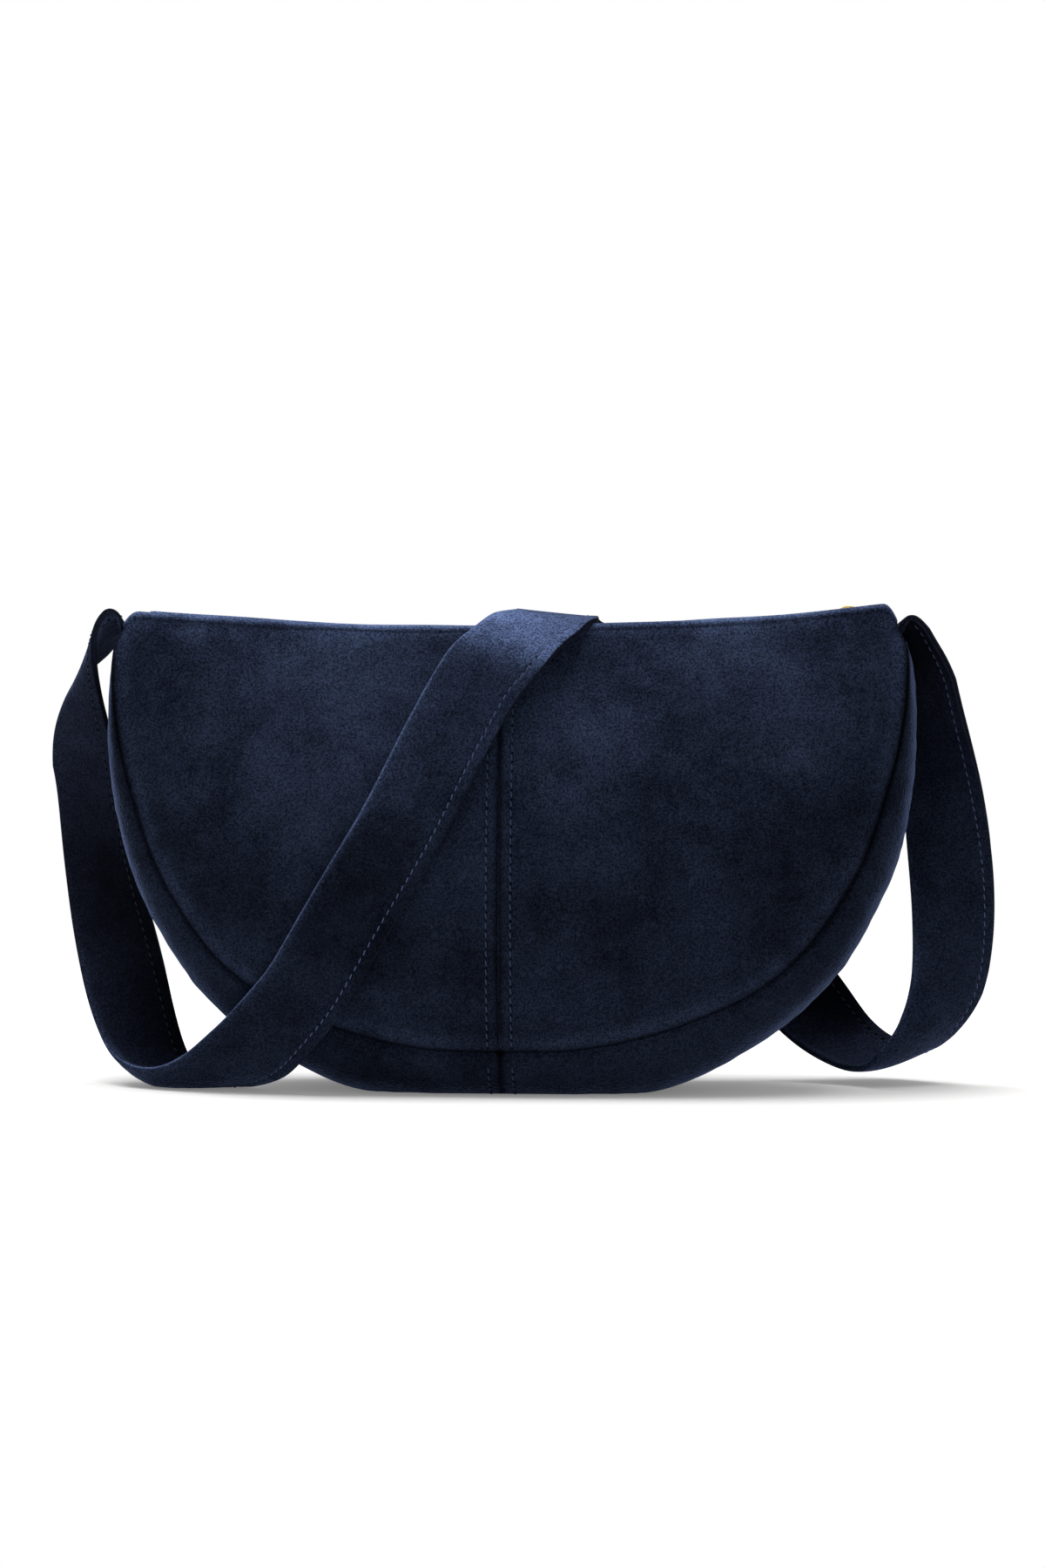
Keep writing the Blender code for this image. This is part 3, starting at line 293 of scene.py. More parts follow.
class Paint:
    """A Principled material and short ways to add nodes to it."""

    def __init__(self, name, roughness, metallic=0.0, specular=0.5):
        self.material = bpy.data.materials.new(name)
        self.material.use_nodes = True
        self.tree = self.material.node_tree
        self.inputs = self.tree.nodes["Principled BSDF"].inputs
        feed(self.inputs["Roughness"], roughness)
        feed(self.inputs["Metallic"], metallic)
        feed(self.inputs["Specular IOR Level"], specular)
        self.places = self.add("TexCoord", "Object")

    def add(self, kind, output, inputs=(), **settings):
        return add_node(self.tree, kind, inputs, **settings).outputs[output]

    def noise(self, size, detail=2.0, roughness=0.5):
        """Noise whose features are about as long as size, in metres."""
        inputs = {"Scale": 1 / size, "Detail": detail, "Roughness": roughness, "Vector": self.places}
        return self.add("TexNoise", "Fac", inputs)

    def attribute(self, name):
        return self.add("Attribute", "Fac", attribute_name=name)

    def bands(self, period, direction):
        """Stripes across the X, Y or Z direction, one each period."""
        inputs = {"Scale": 2 * math.pi / (STRIPE_TURN * period), "Vector": self.places}
        return self.add("TexWave", "Fac", inputs, bands_direction=direction)

    def maths(self, operation, first, second):
        return self.add("Math", 0, {0: first, 1: second}, operation=operation)

    def times(self, first, second):
        return self.maths("MULTIPLY", first, second)

    def plus(self, first, second):
        return self.maths("ADD", first, second)

    def between(self, value, low, high):
        """Stretches the values from low to high over 0 to 1."""
        inputs = {"From Min": low, "From Max": high, "Value": value}
        return self.add("MapRange", "Result", inputs, interpolation_type="SMOOTHSTEP")

    def mix(self, factor, first, second):
        return self.add("Mix", 2, {0: factor, 6: first, 7: second}, data_type="RGBA")

    def scaled(self, colour, factor):
        return self.add("VectorMath", 0, {0: colour, "Scale": factor}, operation="SCALE")

    def upwards(self):
        """How far the surface faces up: -1 underneath, 0 upright, 1 on top."""
        return self.add("SeparateXYZ", "Z", {0: self.add("NewGeometry", "Normal")})

    def bump(self, height, depth, strength=1.0, under=None):
        inputs = {"Distance": depth, "Strength": strength, "Height": height}
        if under is not None:
            inputs["Normal"] = under
        return self.add("Bump", "Normal", inputs)

    def finished(self, colour, normal=None):
        """The material, given its colour and, where it has one, its bump."""
        feed(self.inputs["Base Color"], colour)
        if normal is not None:
            feed(self.inputs["Normal"], normal)
        return self.material


# The nap: the sizes of its marks in metres, its painted light and shade by the way that it faces, and
# its sheen
CLOUD_SIZE = 0.045
PATCH_SIZE = 0.010
GRAIN_SIZE = 0.0008
FIBRE_SIZE = 0.0006
GRAIN_DEPTH = 0.0002
PATCH_DEPTH = 0.0007
CLOUD_SHARE = 0.65
FLECK_SHARE = 0.6
UPRIGHT_LIGHT = 0.60
SLOPE_LIGHT = 2.1
TOP_LIGHT = 1.3
DARKEST_SHADE = 0.05
NAP_SHEEN = 0.7
SHADED_REVERSE_SHEEN = 0.25
NAP_SHEEN_ROUGHNESS = 0.27
NAP_SHEEN_TINT = (0.33, 0.45, 0.88)

# Each suede's dark, middle, light and fleck
BAG_TONES = [(0.0020, 0.0030, 0.0075), (0.0085, 0.0125, 0.0270), (0.0270, 0.0390, 0.0760),
             (0.0800, 0.1050, 0.1800)]
STRAP_TONES = [(0.0020, 0.0029, 0.0072), (0.0082, 0.0120, 0.0260), (0.0260, 0.0375, 0.0740),
               (0.0750, 0.1000, 0.1700)]
# The strap's reverse: a darker copy of the strap's suede, painted shade
SHADED_REVERSE_TONES = [(0.0008, 0.0010, 0.0020), (0.0018, 0.0024, 0.0048), (0.0062, 0.0084, 0.0170),
                 (0.0240, 0.0320, 0.0560)]


def suede_paint(name, tones, sheen=NAP_SHEEN):
    """Brushed suede: mottled where the nap lies either way, with a fine grain and pale fibres."""
    dark, middle, light, fleck = tones
    paint = Paint(name, roughness=0.95, specular=0.03)
    feed(paint.inputs["Sheen Roughness"], NAP_SHEEN_ROUGHNESS)
    feed(paint.inputs["Sheen Tint"], NAP_SHEEN_TINT)
    clouds = paint.between(paint.noise(CLOUD_SIZE, 3.0, 0.55), 0.34, 0.66)
    patches = paint.between(paint.noise(PATCH_SIZE, 3.0, 0.6), 0.30, 0.70)
    grain = paint.between(paint.noise(GRAIN_SIZE, 2.0, 0.6), 0.34, 0.66)
    fibres = paint.noise(FIBRE_SIZE, 1.0, 0.5)
    brushed = paint.plus(paint.times(clouds, CLOUD_SHARE), paint.times(patches, 1 - CLOUD_SHARE))
    tone = paint.mix(brushed, dark, middle)
    raised = paint.plus(paint.times(brushed, 0.7), 0.3)
    tone = paint.mix(paint.times(grain, raised), tone, light)
    tone = paint.mix(paint.times(paint.between(fibres, 0.68, 0.82), FLECK_SHARE), tone, fleck)
    # Painted light and shade: the suede is painted lighter the more it faces up
    up = paint.upwards()
    sloping = paint.times(paint.between(up, 0.0, 0.75), SLOPE_LIGHT)
    on_top = paint.times(paint.between(up, 0.5, 1.0), TOP_LIGHT)
    facing = paint.plus(paint.plus(sloping, on_top), UPRIGHT_LIGHT)
    # The wear attribute: mostly painted light and shade, with some rubbed nap; its painted shade also
    # weakens the sheen
    shade_and_wear_factor = paint.maths("MAXIMUM", paint.plus(paint.attribute("wear"), 1.0), DARKEST_SHADE)
    feed(paint.inputs["Sheen Weight"], paint.times(paint.maths("MINIMUM", shade_and_wear_factor, 1.0), sheen))
    shade = paint.scaled(tone, paint.times(facing, shade_and_wear_factor))
    nap = paint.bump(grain, GRAIN_DEPTH, 0.7)
    return paint.finished(shade, paint.bump(patches, PATCH_DEPTH, 0.35, under=nap))


CUT_FRAY_SIZE = 0.0007
CUT_FRAY_DEPTH = 0.0004


def cut_edge_paint():
    """The cut edge of the strap's leather: darker and rougher than its face."""
    paint = Paint("suede_cut_edge", roughness=0.95, specular=0.05)
    fray = paint.noise(CUT_FRAY_SIZE, 3.0, 0.6)
    tone = paint.mix(paint.between(fray, 0.3, 0.7), (0.003, 0.004, 0.008), (0.012, 0.016, 0.030))
    return paint.finished(tone, paint.bump(fray, CUT_FRAY_DEPTH))


WEAVE_DEPTH = 0.0002
LINING_PITCH = 0.0006
LINING_SLUB_SIZE = 0.006
TAPE_RIB_PITCH = 0.0008
TAPE_CROSS_PITCH = 0.0005


def lining_paint():
    """Plain woven cotton."""
    paint = Paint("lining_weave", roughness=0.85, specular=0.2)
    weave = paint.times(paint.bands(LINING_PITCH, "X"), paint.bands(LINING_PITCH, "Z"))
    slubs = paint.noise(LINING_SLUB_SIZE, 3.0, 0.6)
    tone = paint.mix(weave, (0.014, 0.019, 0.036), (0.052, 0.066, 0.115))
    tone = paint.mix(paint.between(slubs, 0.45, 0.8), tone, (0.030, 0.040, 0.075))
    return paint.finished(tone, paint.bump(weave, WEAVE_DEPTH, 0.8))


def tape_paint():
    """The zip's tape, woven in ribs across its length."""
    paint = Paint("zip_tape_weave", roughness=0.8, specular=0.3)
    ribs = paint.bands(TAPE_RIB_PITCH, "X")
    cross = paint.bands(TAPE_CROSS_PITCH, "Y")
    weave = paint.plus(paint.times(ribs, 0.7), paint.times(cross, 0.3))
    tone = paint.mix(weave, (0.006, 0.008, 0.018), (0.024, 0.030, 0.062))
    return paint.finished(tone, paint.bump(weave, WEAVE_DEPTH, 0.8))


BRASS_WEAR_SIZE = 0.002
BRASS_GRAIN_SIZE = 0.0004
BRASS_GRAIN_DEPTH = 0.00002


def brass_paint():
    """Polished brass with faint wear."""
    paint = Paint("brass", roughness=0.24, metallic=1.0)
    wear = paint.noise(BRASS_WEAR_SIZE, 4.0, 0.6)
    tone = paint.mix(paint.between(wear, 0.35, 0.7), (0.86, 0.64, 0.29), (0.72, 0.50, 0.20))
    feed(paint.inputs["Roughness"], paint.plus(paint.times(wear, 0.16), 0.16))
    grain = paint.noise(BRASS_GRAIN_SIZE)
    return paint.finished(tone, paint.bump(grain, BRASS_GRAIN_DEPTH, 0.3))


THREAD_FIBRE_SIZE = 0.0003
HOLE_FIBRE_SIZE = 0.0004


def thread_paint(name, dark, light, specular):
    """Twisted polyester thread."""
    paint = Paint(name, roughness=0.6, specular=specular)
    return paint.finished(paint.mix(paint.noise(THREAD_FIBRE_SIZE, 1.0), dark, light))


def hole_shade_paint():
    """Painted shade in a needle hole: a near-black disc."""
    paint = Paint("needle_hole_shade", roughness=1.0, specular=0.0)
    fibres = paint.noise(HOLE_FIBRE_SIZE, 1.0)
    return paint.finished(paint.mix(fibres, (0.001, 0.0015, 0.003), (0.003, 0.004, 0.008)))


# Outlines and surfaces

def smooth_curve(points, count):
    """Points at even parameters along a Catmull-Rom curve through the given points."""
    rows = np.array(points, dtype=float)
    if rows.ndim == 1:
        rows = rows[:, None]
    padded = np.vstack([2 * rows[0] - rows[1], rows, 2 * rows[-1] - rows[-2]])
    found = []
    for place in np.linspace(0, len(rows) - 1, count):
        i = min(int(place), len(rows) - 2)
        f = place - i
        a, b, c, d = padded[i:i + 4]
        bend = (2 * a - 5 * b + 4 * c - d) * f ** 2 + (3 * b - a - 3 * c + d) * f ** 3
        found.append(0.5 * (2 * b + (c - a) * f + bend))
    return np.array(found)


OUTLINE_SAMPLES = 241
OUTER_LINE = smooth_curve(OUTER_SHARES, OUTLINE_SAMPLES)
SEAM_LINE = smooth_curve(PANEL_SEAM_SHARES, OUTLINE_SAMPLES)
DEPTH_LINE = smooth_curve(GUSSET_DEPTH_SHARES, OUTLINE_SAMPLES)[:, 0]
LINE_PLACES = np.linspace(0, 1, OUTLINE_SAMPLES)


def on_line(line, share):
    return np.interp(share, LINE_PLACES, line[:, 0]), np.interp(share, LINE_PLACES, line[:, 1])


def gusset_half_depth(share):
    return BASE_HALF_DEPTH * np.interp(share, LINE_PLACES, DEPTH_LINE)


def side_x(side, x_share, start=GAP / 2):
    """The place of a share of the half width, counted from start beside the centre seam."""
    first = SEAM_X + side * start
    return first + x_share * (side * HALF_WIDTH - first)


def smoothstep(low, high, value):
    k = np.clip((value - low) / (high - low), 0.0, 1.0)
    return k * k * (3 - 2 * k)


def bell(value, middle, half):
    return np.exp(-((value - middle) / half) ** 2)


def unit(rows):
    return rows / np.linalg.norm(rows, axis=1)[:, None]


def run_along(points):
    """How far along a line of points each of them lies."""
    return np.concatenate([[0], np.cumsum(np.linalg.norm(np.diff(points, axis=0), axis=1))])


def rim_z(x):
    return BAG_HEIGHT + (x - RIM_LOW_X) ** 2 / (2 * RIM_RADIUS)


def rim_half_depth(x):
    taper = smoothstep(RIM_TAPER_START, RIM_TAPER_END, np.abs(x))
    return RIM_HALF_DEPTH + (RIM_CORNER_HALF_DEPTH - RIM_HALF_DEPTH) * taper


def panel_corner(side):
    x_share, z_share = on_line(SEAM_LINE, 1)
    return side_x(side, x_share), BAG_HEIGHT * z_share


def corner_fall(side, x):
    """How far the top edge has dropped below the rim's line where it rounds the corner."""
    corner_x, corner_z = panel_corner(side)
    fall = rim_z(corner_x) - CREST_RADIUS - corner_z
    k = (np.abs(x) - CORNER_ROUND_START) / (abs(corner_x) - CORNER_ROUND_START)
    return fall * np.clip(k, 0.0, 1.0) ** 2


def panel_top_z(side, x):
    return rim_z(x) - CREST_RADIUS - corner_fall(side, x)


def square_from_disc(p, q):
    """The place in a unit square that a place in a quarter disc comes from."""
    root = math.sqrt(8)

    def half_root(value):
        return np.sqrt(np.maximum(value, 0.0)) / 2

    wide, tall = 2 + p * p - q * q, 2 - p * p + q * q
    s = half_root(wide + root * p) - half_root(wide - root * p)
    t = half_root(tall + root * q) - half_root(tall - root * q)
    return np.clip(s, 0.0, 1.0), np.clip(t, 0.0, 1.0)


def base_and_puff(side, x, z, reach, share, from_seam):
    """A panel's half depth where it lies flat between its seam and rim, and how far it puffs out."""
    inside = 1 - np.clip(from_seam / PUFF_REACH, 0.0, 1.0)
    below_rim = np.clip((panel_top_z(side, x) - z) / RIM_SLOPE_REACH, 0.0, 1.0)
    puff = PANEL_PUFF * np.sqrt(1 - inside ** 2) * np.sin(math.pi / 2 * below_rim)
    return rim_half_depth(x) + (gusset_half_depth(share) - rim_half_depth(x)) * reach, puff


def panel_surface(side, reach, share, start=GAP / 2):
    """A panel's outer surface at a reach from the seam's top towards a place on the outer seam.

    Gives x, half depth, z, and the distance from the outer seam.
    """
    angle = (1 - share) * math.pi / 2
    s, t = square_from_disc(reach * np.cos(angle), reach * np.sin(angle))
    x_share, z_share = on_line(SEAM_LINE, share)
    pole_x = side_x(side, 0, start)
    pole_z = panel_top_z(side, pole_x)
    edge_x, edge_z = side_x(side, x_share, start), BAG_HEIGHT * z_share
    x = pole_x + reach * (edge_x - pole_x)
    top_straight = pole_z + s * (panel_corner(side)[1] - pole_z)
    z = pole_z + reach * (edge_z - pole_z) + (panel_top_z(side, x) - top_straight) * (1 - t) ** 2
    from_seam = (1 - reach) * np.hypot(edge_x - pole_x, edge_z - pole_z)
    base, puff = base_and_puff(side, x, z, reach, share, from_seam)
    wall = EDGE_WALL * np.minimum(1.0, t / EDGE_WALL_RISE_SHARE)
    wall = wall * smoothstep(EDGE_WALL_START_SHARE, 1.0, reach)
    return x, base + np.maximum(puff, wall), z, from_seam


def gusset_surface(side, share, across):
    """The gusset's outer surface, from the centre seam on and flattened where it lies on the floor."""
    seam = on_line(SEAM_LINE, share)
    outer = on_line(OUTER_LINE, share)
    swell = np.sqrt(np.maximum(1 - np.abs(across) ** GUSSET_SQUARENESS, 0.0))
    seam_x, outer_x = side_x(side, seam[0], 0.0), side_x(side, outer[0], 0.0)
    seam_z, outer_z = BAG_HEIGHT * seam[1], BAG_HEIGHT * outer[1]
    outer_z = outer_z - FLOOR_SAG * (1 - smoothstep(0, FLOOR_SAG_REACH, outer_z))
    x = seam_x + (outer_x - seam_x) * swell
    z = seam_z + (outer_z - seam_z) * swell
    y = (gusset_half_depth(share) - GAP / 2) * across
    return x, y, z


# Relief: what the needle, the seams and handling do to the surface

SEAM_ALLOWANCE = 0.0057
ALLOWANCE_SLOPE = 0.0009
ALLOWANCE_RISE = 0.00045
GROOVE_HALF = 0.0012
GROOVE_DEPTH = 0.0011
STITCH_OFFSET = 0.0049
STITCH_DENT = 0.00022
STITCH_DENT_HALF = 0.0006


def stitch_dent(distance, row):
    """How far a row of stitches draws the surface in."""
    return STITCH_DENT * bell(distance, row, STITCH_DENT_HALF)


def beside_seam(distance):
    """Rise of the surface beside a topstitched seam: turned allowance, stitch row and groove."""
    low, high = SEAM_ALLOWANCE - ALLOWANCE_SLOPE, SEAM_ALLOWANCE + ALLOWANCE_SLOPE
    rise = ALLOWANCE_RISE * (1 - smoothstep(low, high, distance))
    roll = np.clip(1 - distance / GROOVE_HALF, 0.0, 1.0)
    groove = GROOVE_DEPTH * (1 - np.sqrt(1 - roll ** 2))
    return rise - stitch_dent(distance, STITCH_OFFSET) - groove


def uneven(first, second, size, seed):
    """Smooth noise from about -1 to 1 at places on a surface, with features of the given size."""
    places = zip(np.ravel(first), np.ravel(second))
    values = [noise.noise(Vector((a / size, b / size, seed))) for a, b in places]
    return np.reshape(values, first.shape)


# Meshes

FLAT_ANGLE = math.radians(1)
ROUNDED_ANGLE = math.radians(30)
COPY_SHARP_ANGLE = math.radians(40)
LOFT_SHARP_ANGLE = math.radians(50)


def link(name, data, materials=()):
    made = bpy.data.objects.new(name, data)
    bpy.context.scene.collection.objects.link(made)
    for material in materials:
        made.data.materials.append(material)
    return made


@contextmanager
def editing(mesh):
    """The mesh as a bmesh, which is written back afterwards."""
    bm = bmesh.new()
    bm.from_mesh(mesh)
    yield bm
    bm.to_mesh(mesh)
    bm.free()


def pairs(down, across):
    """Two grids that hold every pair of a value down the rows and a value across them."""
    return np.meshgrid(down, across, indexing="ij")


def grid_faces(rows, columns):
    return [(i * columns + j, i * columns + j + 1, (i + 1) * columns + j + 1, (i + 1) * columns + j)
            for i in range(rows - 1) for j in range(columns - 1)]


def ring_faces(rings, around):
    """Faces between rings of points, then the caps on the first ring and the last."""
    faces = [(i * around + k, i * around + (k + 1) % around,
              (i + 1) * around + (k + 1) % around, (i + 1) * around + k)
             for i in range(rings - 1) for k in range(around)]
    first, last = range(around), range((rings - 1) * around, rings * around)
    return faces + [tuple(reversed(first)), tuple(last)]


def new_mesh(name, points, faces, kinds=None):
    """A mesh, with a material number for each face where they are given."""
    mesh = bpy.data.meshes.new(name)
    mesh.from_pydata(points, [], faces)
    if kinds:
        mesh.polygons.foreach_set("material_index", kinds)
    return mesh


def surface(name, points, outside, material):
    """An open surface through a grid of points, facing as outside says for each place on it."""
    mesh = new_mesh(name, points.reshape(-1, 3).tolist(), grid_faces(*points.shape[:2]))
    with editing(mesh) as bm:
        bmesh.ops.remove_doubles(bm, verts=bm.verts, dist=GAP / 100)
        bmesh.ops.dissolve_degenerate(bm, edges=bm.edges, dist=GAP / 100)
    facing = sum(p.area * p.normal.dot(Vector(outside(p.center))) for p in mesh.polygons)
    if facing < 0:
        mesh.flip_normals()
    mesh.shade_smooth()
    return link(name, mesh, [material])


def point_at(place, places, points):
    """The point at a place along a line of points, whose own places are given."""
    return [float(np.interp(place, places, points[:, axis])) for axis in range(3)]


def away_from_middle(at):
    """The direction in which the gusset and its lining face."""
    return (at - Vector((SEAM_X, 0, BAG_HEIGHT))).normalized()


def set_light_and_wear(thing, values):
    """How much lighter (above 0) or darker (down to -1) the suede is painted at each point: mostly
    painted light and shade, with some rubbed nap.
    """
    layer = thing.data.attributes.new("wear", "FLOAT", "POINT")
    layer.data.foreach_set("value", values)


def thicken(thing, thickness):
    shell = thing.modifiers.new("thickness", "SOLIDIFY")
    shell.thickness = thickness
    shell.offset = -1.0


def push_inwards(thing, distance):
    mesh = thing.data
    shifted = [v.co - distance * v.normal for v in mesh.vertices]
    for vertex, place in zip(mesh.vertices, shifted):
        vertex.co = place


def loft(name, rings, materials, around_kinds=None):
    """A closed solid through rings of points, with a material number for each place on the ring."""
    count, around = rings.shape[:2]
    kinds = (around_kinds or [0] * around) * (count - 1) + [0, 0]
    mesh = new_mesh(name, rings.reshape(-1, 3).tolist(), ring_faces(count, around), kinds)
    with editing(mesh) as bm:
        bmesh.ops.recalc_face_normals(bm, faces=bm.faces)
    mesh.shade_smooth()
    mesh.set_sharp_from_angle(angle=LOFT_SHARP_ANGLE)
    return link(name, mesh, materials)


def stamped(name, shapes, places, materials):
    """One mesh with a copy of each shape, (points, faces, material number), at every place."""
    points, faces, kinds = [], [], []
    for place in places:
        turn = np.array(place.to_3x3())
        shift = np.array(place.translation)
        for shape_points, shape_faces, kind in shapes:
            start = len(points)
            points.extend((shape_points @ turn.T + shift).tolist())
            faces.extend([tuple(start + i for i in face) for face in shape_faces])
            kinds.extend([kind] * len(shape_faces))
    mesh = new_mesh(name, points, faces, kinds)
    mesh.shade_smooth()
    return link(name, mesh, materials)


def rounded_copy(node, radius, material):
    """A copy of a solid from the frame with its flat faces joined and its edges rounded."""
    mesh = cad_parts[node].data.copy()
    with editing(mesh) as bm:
        bmesh.ops.remove_doubles(bm, verts=bm.verts, dist=GAP / 30)
        bmesh.ops.dissolve_limit(bm, angle_limit=FLAT_ANGLE, verts=bm.verts, edges=bm.edges)
        bmesh.ops.recalc_face_normals(bm, faces=bm.faces)
    mesh.materials.clear()
    made = link(f"{node}_finished", mesh, [material])
    rounding = made.modifiers.new("rounding", "BEVEL")
    rounding.width = radius
    rounding.segments = 2
    rounding.limit_method = "ANGLE"
    rounding.angle_limit = ROUNDED_ANGLE
    rounding.use_clamp_overlap = True
    made.data.shade_smooth()
    made.data.set_sharp_from_angle(angle=COPY_SHARP_ANGLE)
    return made


def finish_piece(piece, body, slot, *nodes):
    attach(piece, body)
    if nodes:
        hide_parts(*nodes)


# Stitches

STITCH_PITCH = 0.0038
STITCH_LENGTH = 0.0025
THREAD_RADIUS = 0.00026
HOLE_RADIUS = 0.00042
HOLE_STRETCH = 1.3
HOLE_SIDES = 8
THREAD_SIDES = 6
THREAD_RINGS = 7
THREAD_TAPER = 0.45
THREAD_CROWN = 0.75
THREAD_DIP = 1.3
STITCH_SLANT = math.radians(9)
STITCH_LARGEST_BEND = math.radians(35)


def stitch_shapes():
    """A stitch that dips at both ends, and a flat dark disc between it and the next one, painted shade
    in the needle hole.
    """
    sides = [2 * math.pi * k / THREAD_SIDES for k in range(THREAD_SIDES)]
    thread = []
    for k in np.linspace(-1, 1, THREAD_RINGS):
        radius = THREAD_RADIUS * (1 - THREAD_TAPER * abs(k) ** 3)
        height = THREAD_RADIUS * (THREAD_CROWN - THREAD_DIP * abs(k) ** 4)
        thread += [(k * STITCH_LENGTH / 2, radius * math.cos(a), height + radius * math.sin(a))
                   for a in sides]
    thread_faces = [face[::-1] for face in ring_faces(THREAD_RINGS, THREAD_SIDES)]
    sides = [2 * math.pi * k / HOLE_SIDES for k in range(HOLE_SIDES)]
    long_radius = HOLE_STRETCH * HOLE_RADIUS
    hole = [(STITCH_PITCH / 2 + long_radius * math.cos(a), HOLE_RADIUS * math.sin(a), level)
            for level in (-THREAD_RADIUS, THREAD_RADIUS / 8) for a in sides]
    return [(np.array(thread), thread_faces, 0), (np.array(hole), ring_faces(2, HOLE_SIDES), 1)]


def stitch_places(points, normals):
    """A place for each stitch along a line of surface points, X along the row and Z outwards.

    None is set where the surface bends too far within one stitch, as over the rim's roll.
    """
    points, normals = np.array(points), np.array(normals)
    run = run_along(points)
    half = STITCH_LENGTH / 2

    def at(values, place):
        return Vector(point_at(place, run, values))

    places = []
    for k in range(int(run[-1] // STITCH_PITCH)):
        middle = (k + 0.5) * STITCH_PITCH
        if at(normals, middle - half).angle(at(normals, middle + half)) > STITCH_LARGEST_BEND:
            continue
        up = at(normals, middle).normalized()
        along = at(points, middle + half) - at(points, middle - half)
        along = (along - along.dot(up) * up).normalized()
        turned = Matrix.Rotation(STITCH_SLANT, 3, up) @ along
        place = Matrix((turned, up.cross(turned), up)).transposed().to_4x4()
        place.translation = at(points, middle)
        places.append(place)
    return places


def nearest_normals(thing, points):
    """The normals of an object's mesh at the places on it nearest to the given points."""
    tree = BVHTree.FromPolygons([v.co for v in thing.data.vertices],
                                [tuple(p.vertices) for p in thing.data.polygons])
    return [tree.find_nearest(Vector(point))[1] for point in points]


def sew(piece, node, row, stitches):
    """Sews a suede piece of the bag along a row of points, and gives it its thickness."""
    stitches += stitch_places(row, nearest_normals(piece, row))
    thicken(piece, SUEDE)
    finish_piece(piece, "bag", "suede", node)


# Panels

def seam_places():
    """Places along the outer seam: close together beside the centre seam, then even."""
    fine, coarse, growth = 0.0011, 0.009, 1.15
    fine_count, even_count = 22, 84
    steps = [fine] * fine_count
    while steps[-1] < coarse:
        steps.append(steps[-1] * growth)
    near = np.concatenate([[0], np.cumsum(steps)])
    return np.concatenate([near, np.linspace(near[-1], 1, even_count)[1:]])


SEAM_PLACES = seam_places()
ROLL_REACH = 0.1
FLAT_COUNT = 56
ROLL_COUNT = 15
REACHES = np.concatenate([np.linspace(0, 1 - ROLL_REACH, FLAT_COUNT),
                          1 - ROLL_REACH * (1 - np.linspace(0, 1, ROLL_COUNT)[1:]) ** 2])
WALL_STEPS = 4
CREST_STEPS = 8
FLANGE_STEPS = 7
FLANGE_CURVE = 1.6
RIM_WAVE = 0.0007
RIM_WAVE_SIZE = 0.045
RIM_WAVE_REACH = 0.030
RIM_WAVE_SEEDS = {-1: 1.7, 1: 5.2}
PANEL_DENT = 0.0010
PANEL_DENT_SIZE = 0.055
PANEL_RIPPLE = 0.00035
PANEL_RIPPLE_SIZE = 0.017
PANEL_SEEDS = {-1: 3.1, 1: 8.7}
SEAM_CALM_REACH = 0.020
RIM_CALM_REACH = 0.012
# Painted shade in the seams' grooves and beside the centre seam; rubbed nap with a painted highlight
# on the roll and the rim
GROOVE_SHADE = 0.8
ROLL_WEAR_AND_HIGHLIGHT = 0.55
ROLL_FROM_SEAM = 0.0042
ROLL_HALF = 0.0026
RIM_WEAR_AND_HIGHLIGHT = 0.4
RIM_WEAR_AND_HIGHLIGHT_REACH = 0.007
CENTRE_SEAM_SHADE = 0.8
CENTRE_SEAM_HALF = 0.0016
UPPER_HEIGHTS = (0.09, 0.16)


def panel_relief(face, x, z, from_seam, below_rim):
    """Soft hollows and ripples of a panel, fading out at its seams and rim."""
    seed = PANEL_SEEDS[face]
    fade = smoothstep(0.0, SEAM_CALM_REACH, from_seam) * smoothstep(0.0, RIM_CALM_REACH, below_rim)
    hollows = PANEL_DENT * uneven(x, z, PANEL_DENT_SIZE, seed)
    ripples = PANEL_RIPPLE * uneven(x, z, PANEL_RIPPLE_SIZE, seed + 1)
    return fade * (hollows + ripples)


def rim_wave(face, x):
    """The rim isn't cut dead straight: it rises and falls a little along its length."""
    return RIM_WAVE * uneven(x, 0 * x, RIM_WAVE_SIZE, RIM_WAVE_SEEDS[face])


def flange_end(x):
    """How far inwards the rolled top edge runs, wider for the strap at the ends."""
    narrow = STRIP_HALF_OUTER + GAP
    clear = smoothstep(CORNER_ROUND_START, CORNER_ROUND_START + 2 * CREST_RADIUS, np.abs(x))
    return narrow + (STRAP_WIDTH / 2 + 3 * GAP - narrow) * clear


def panel_grid(face, side):
    """Points of a panel half: reaches down the rows, the outer seam then the rim's roll across."""
    reach, share = pairs(REACHES, SEAM_PLACES)
    x, depth, z, from_seam = panel_surface(side, reach, share)
    top = panel_top_z(side, x)
    depth = depth + panel_relief(face, x, z, from_seam, top - z) + beside_seam(np.abs(x - SEAM_X))
    z = z + rim_wave(face, x) * (1 - smoothstep(0, RIM_WAVE_REACH, top - z))
    rows = [np.stack([x, face * depth, z], axis=2)]
    seam_depth = gusset_half_depth(SEAM_PLACES) + GAP / 2
    for step in range(WALL_STEPS):
        f = (step + 1) / WALL_STEPS
        wall = depth[-1] + (np.minimum(seam_depth, depth[-1]) - depth[-1]) * f
        rows.append(np.stack([x[-1], face * wall, z[-1]], axis=1)[None])
    wall_grid = np.concatenate(rows)
    return np.concatenate([wall_grid, crest_grid(face, wall_grid[:, -1])], axis=1)


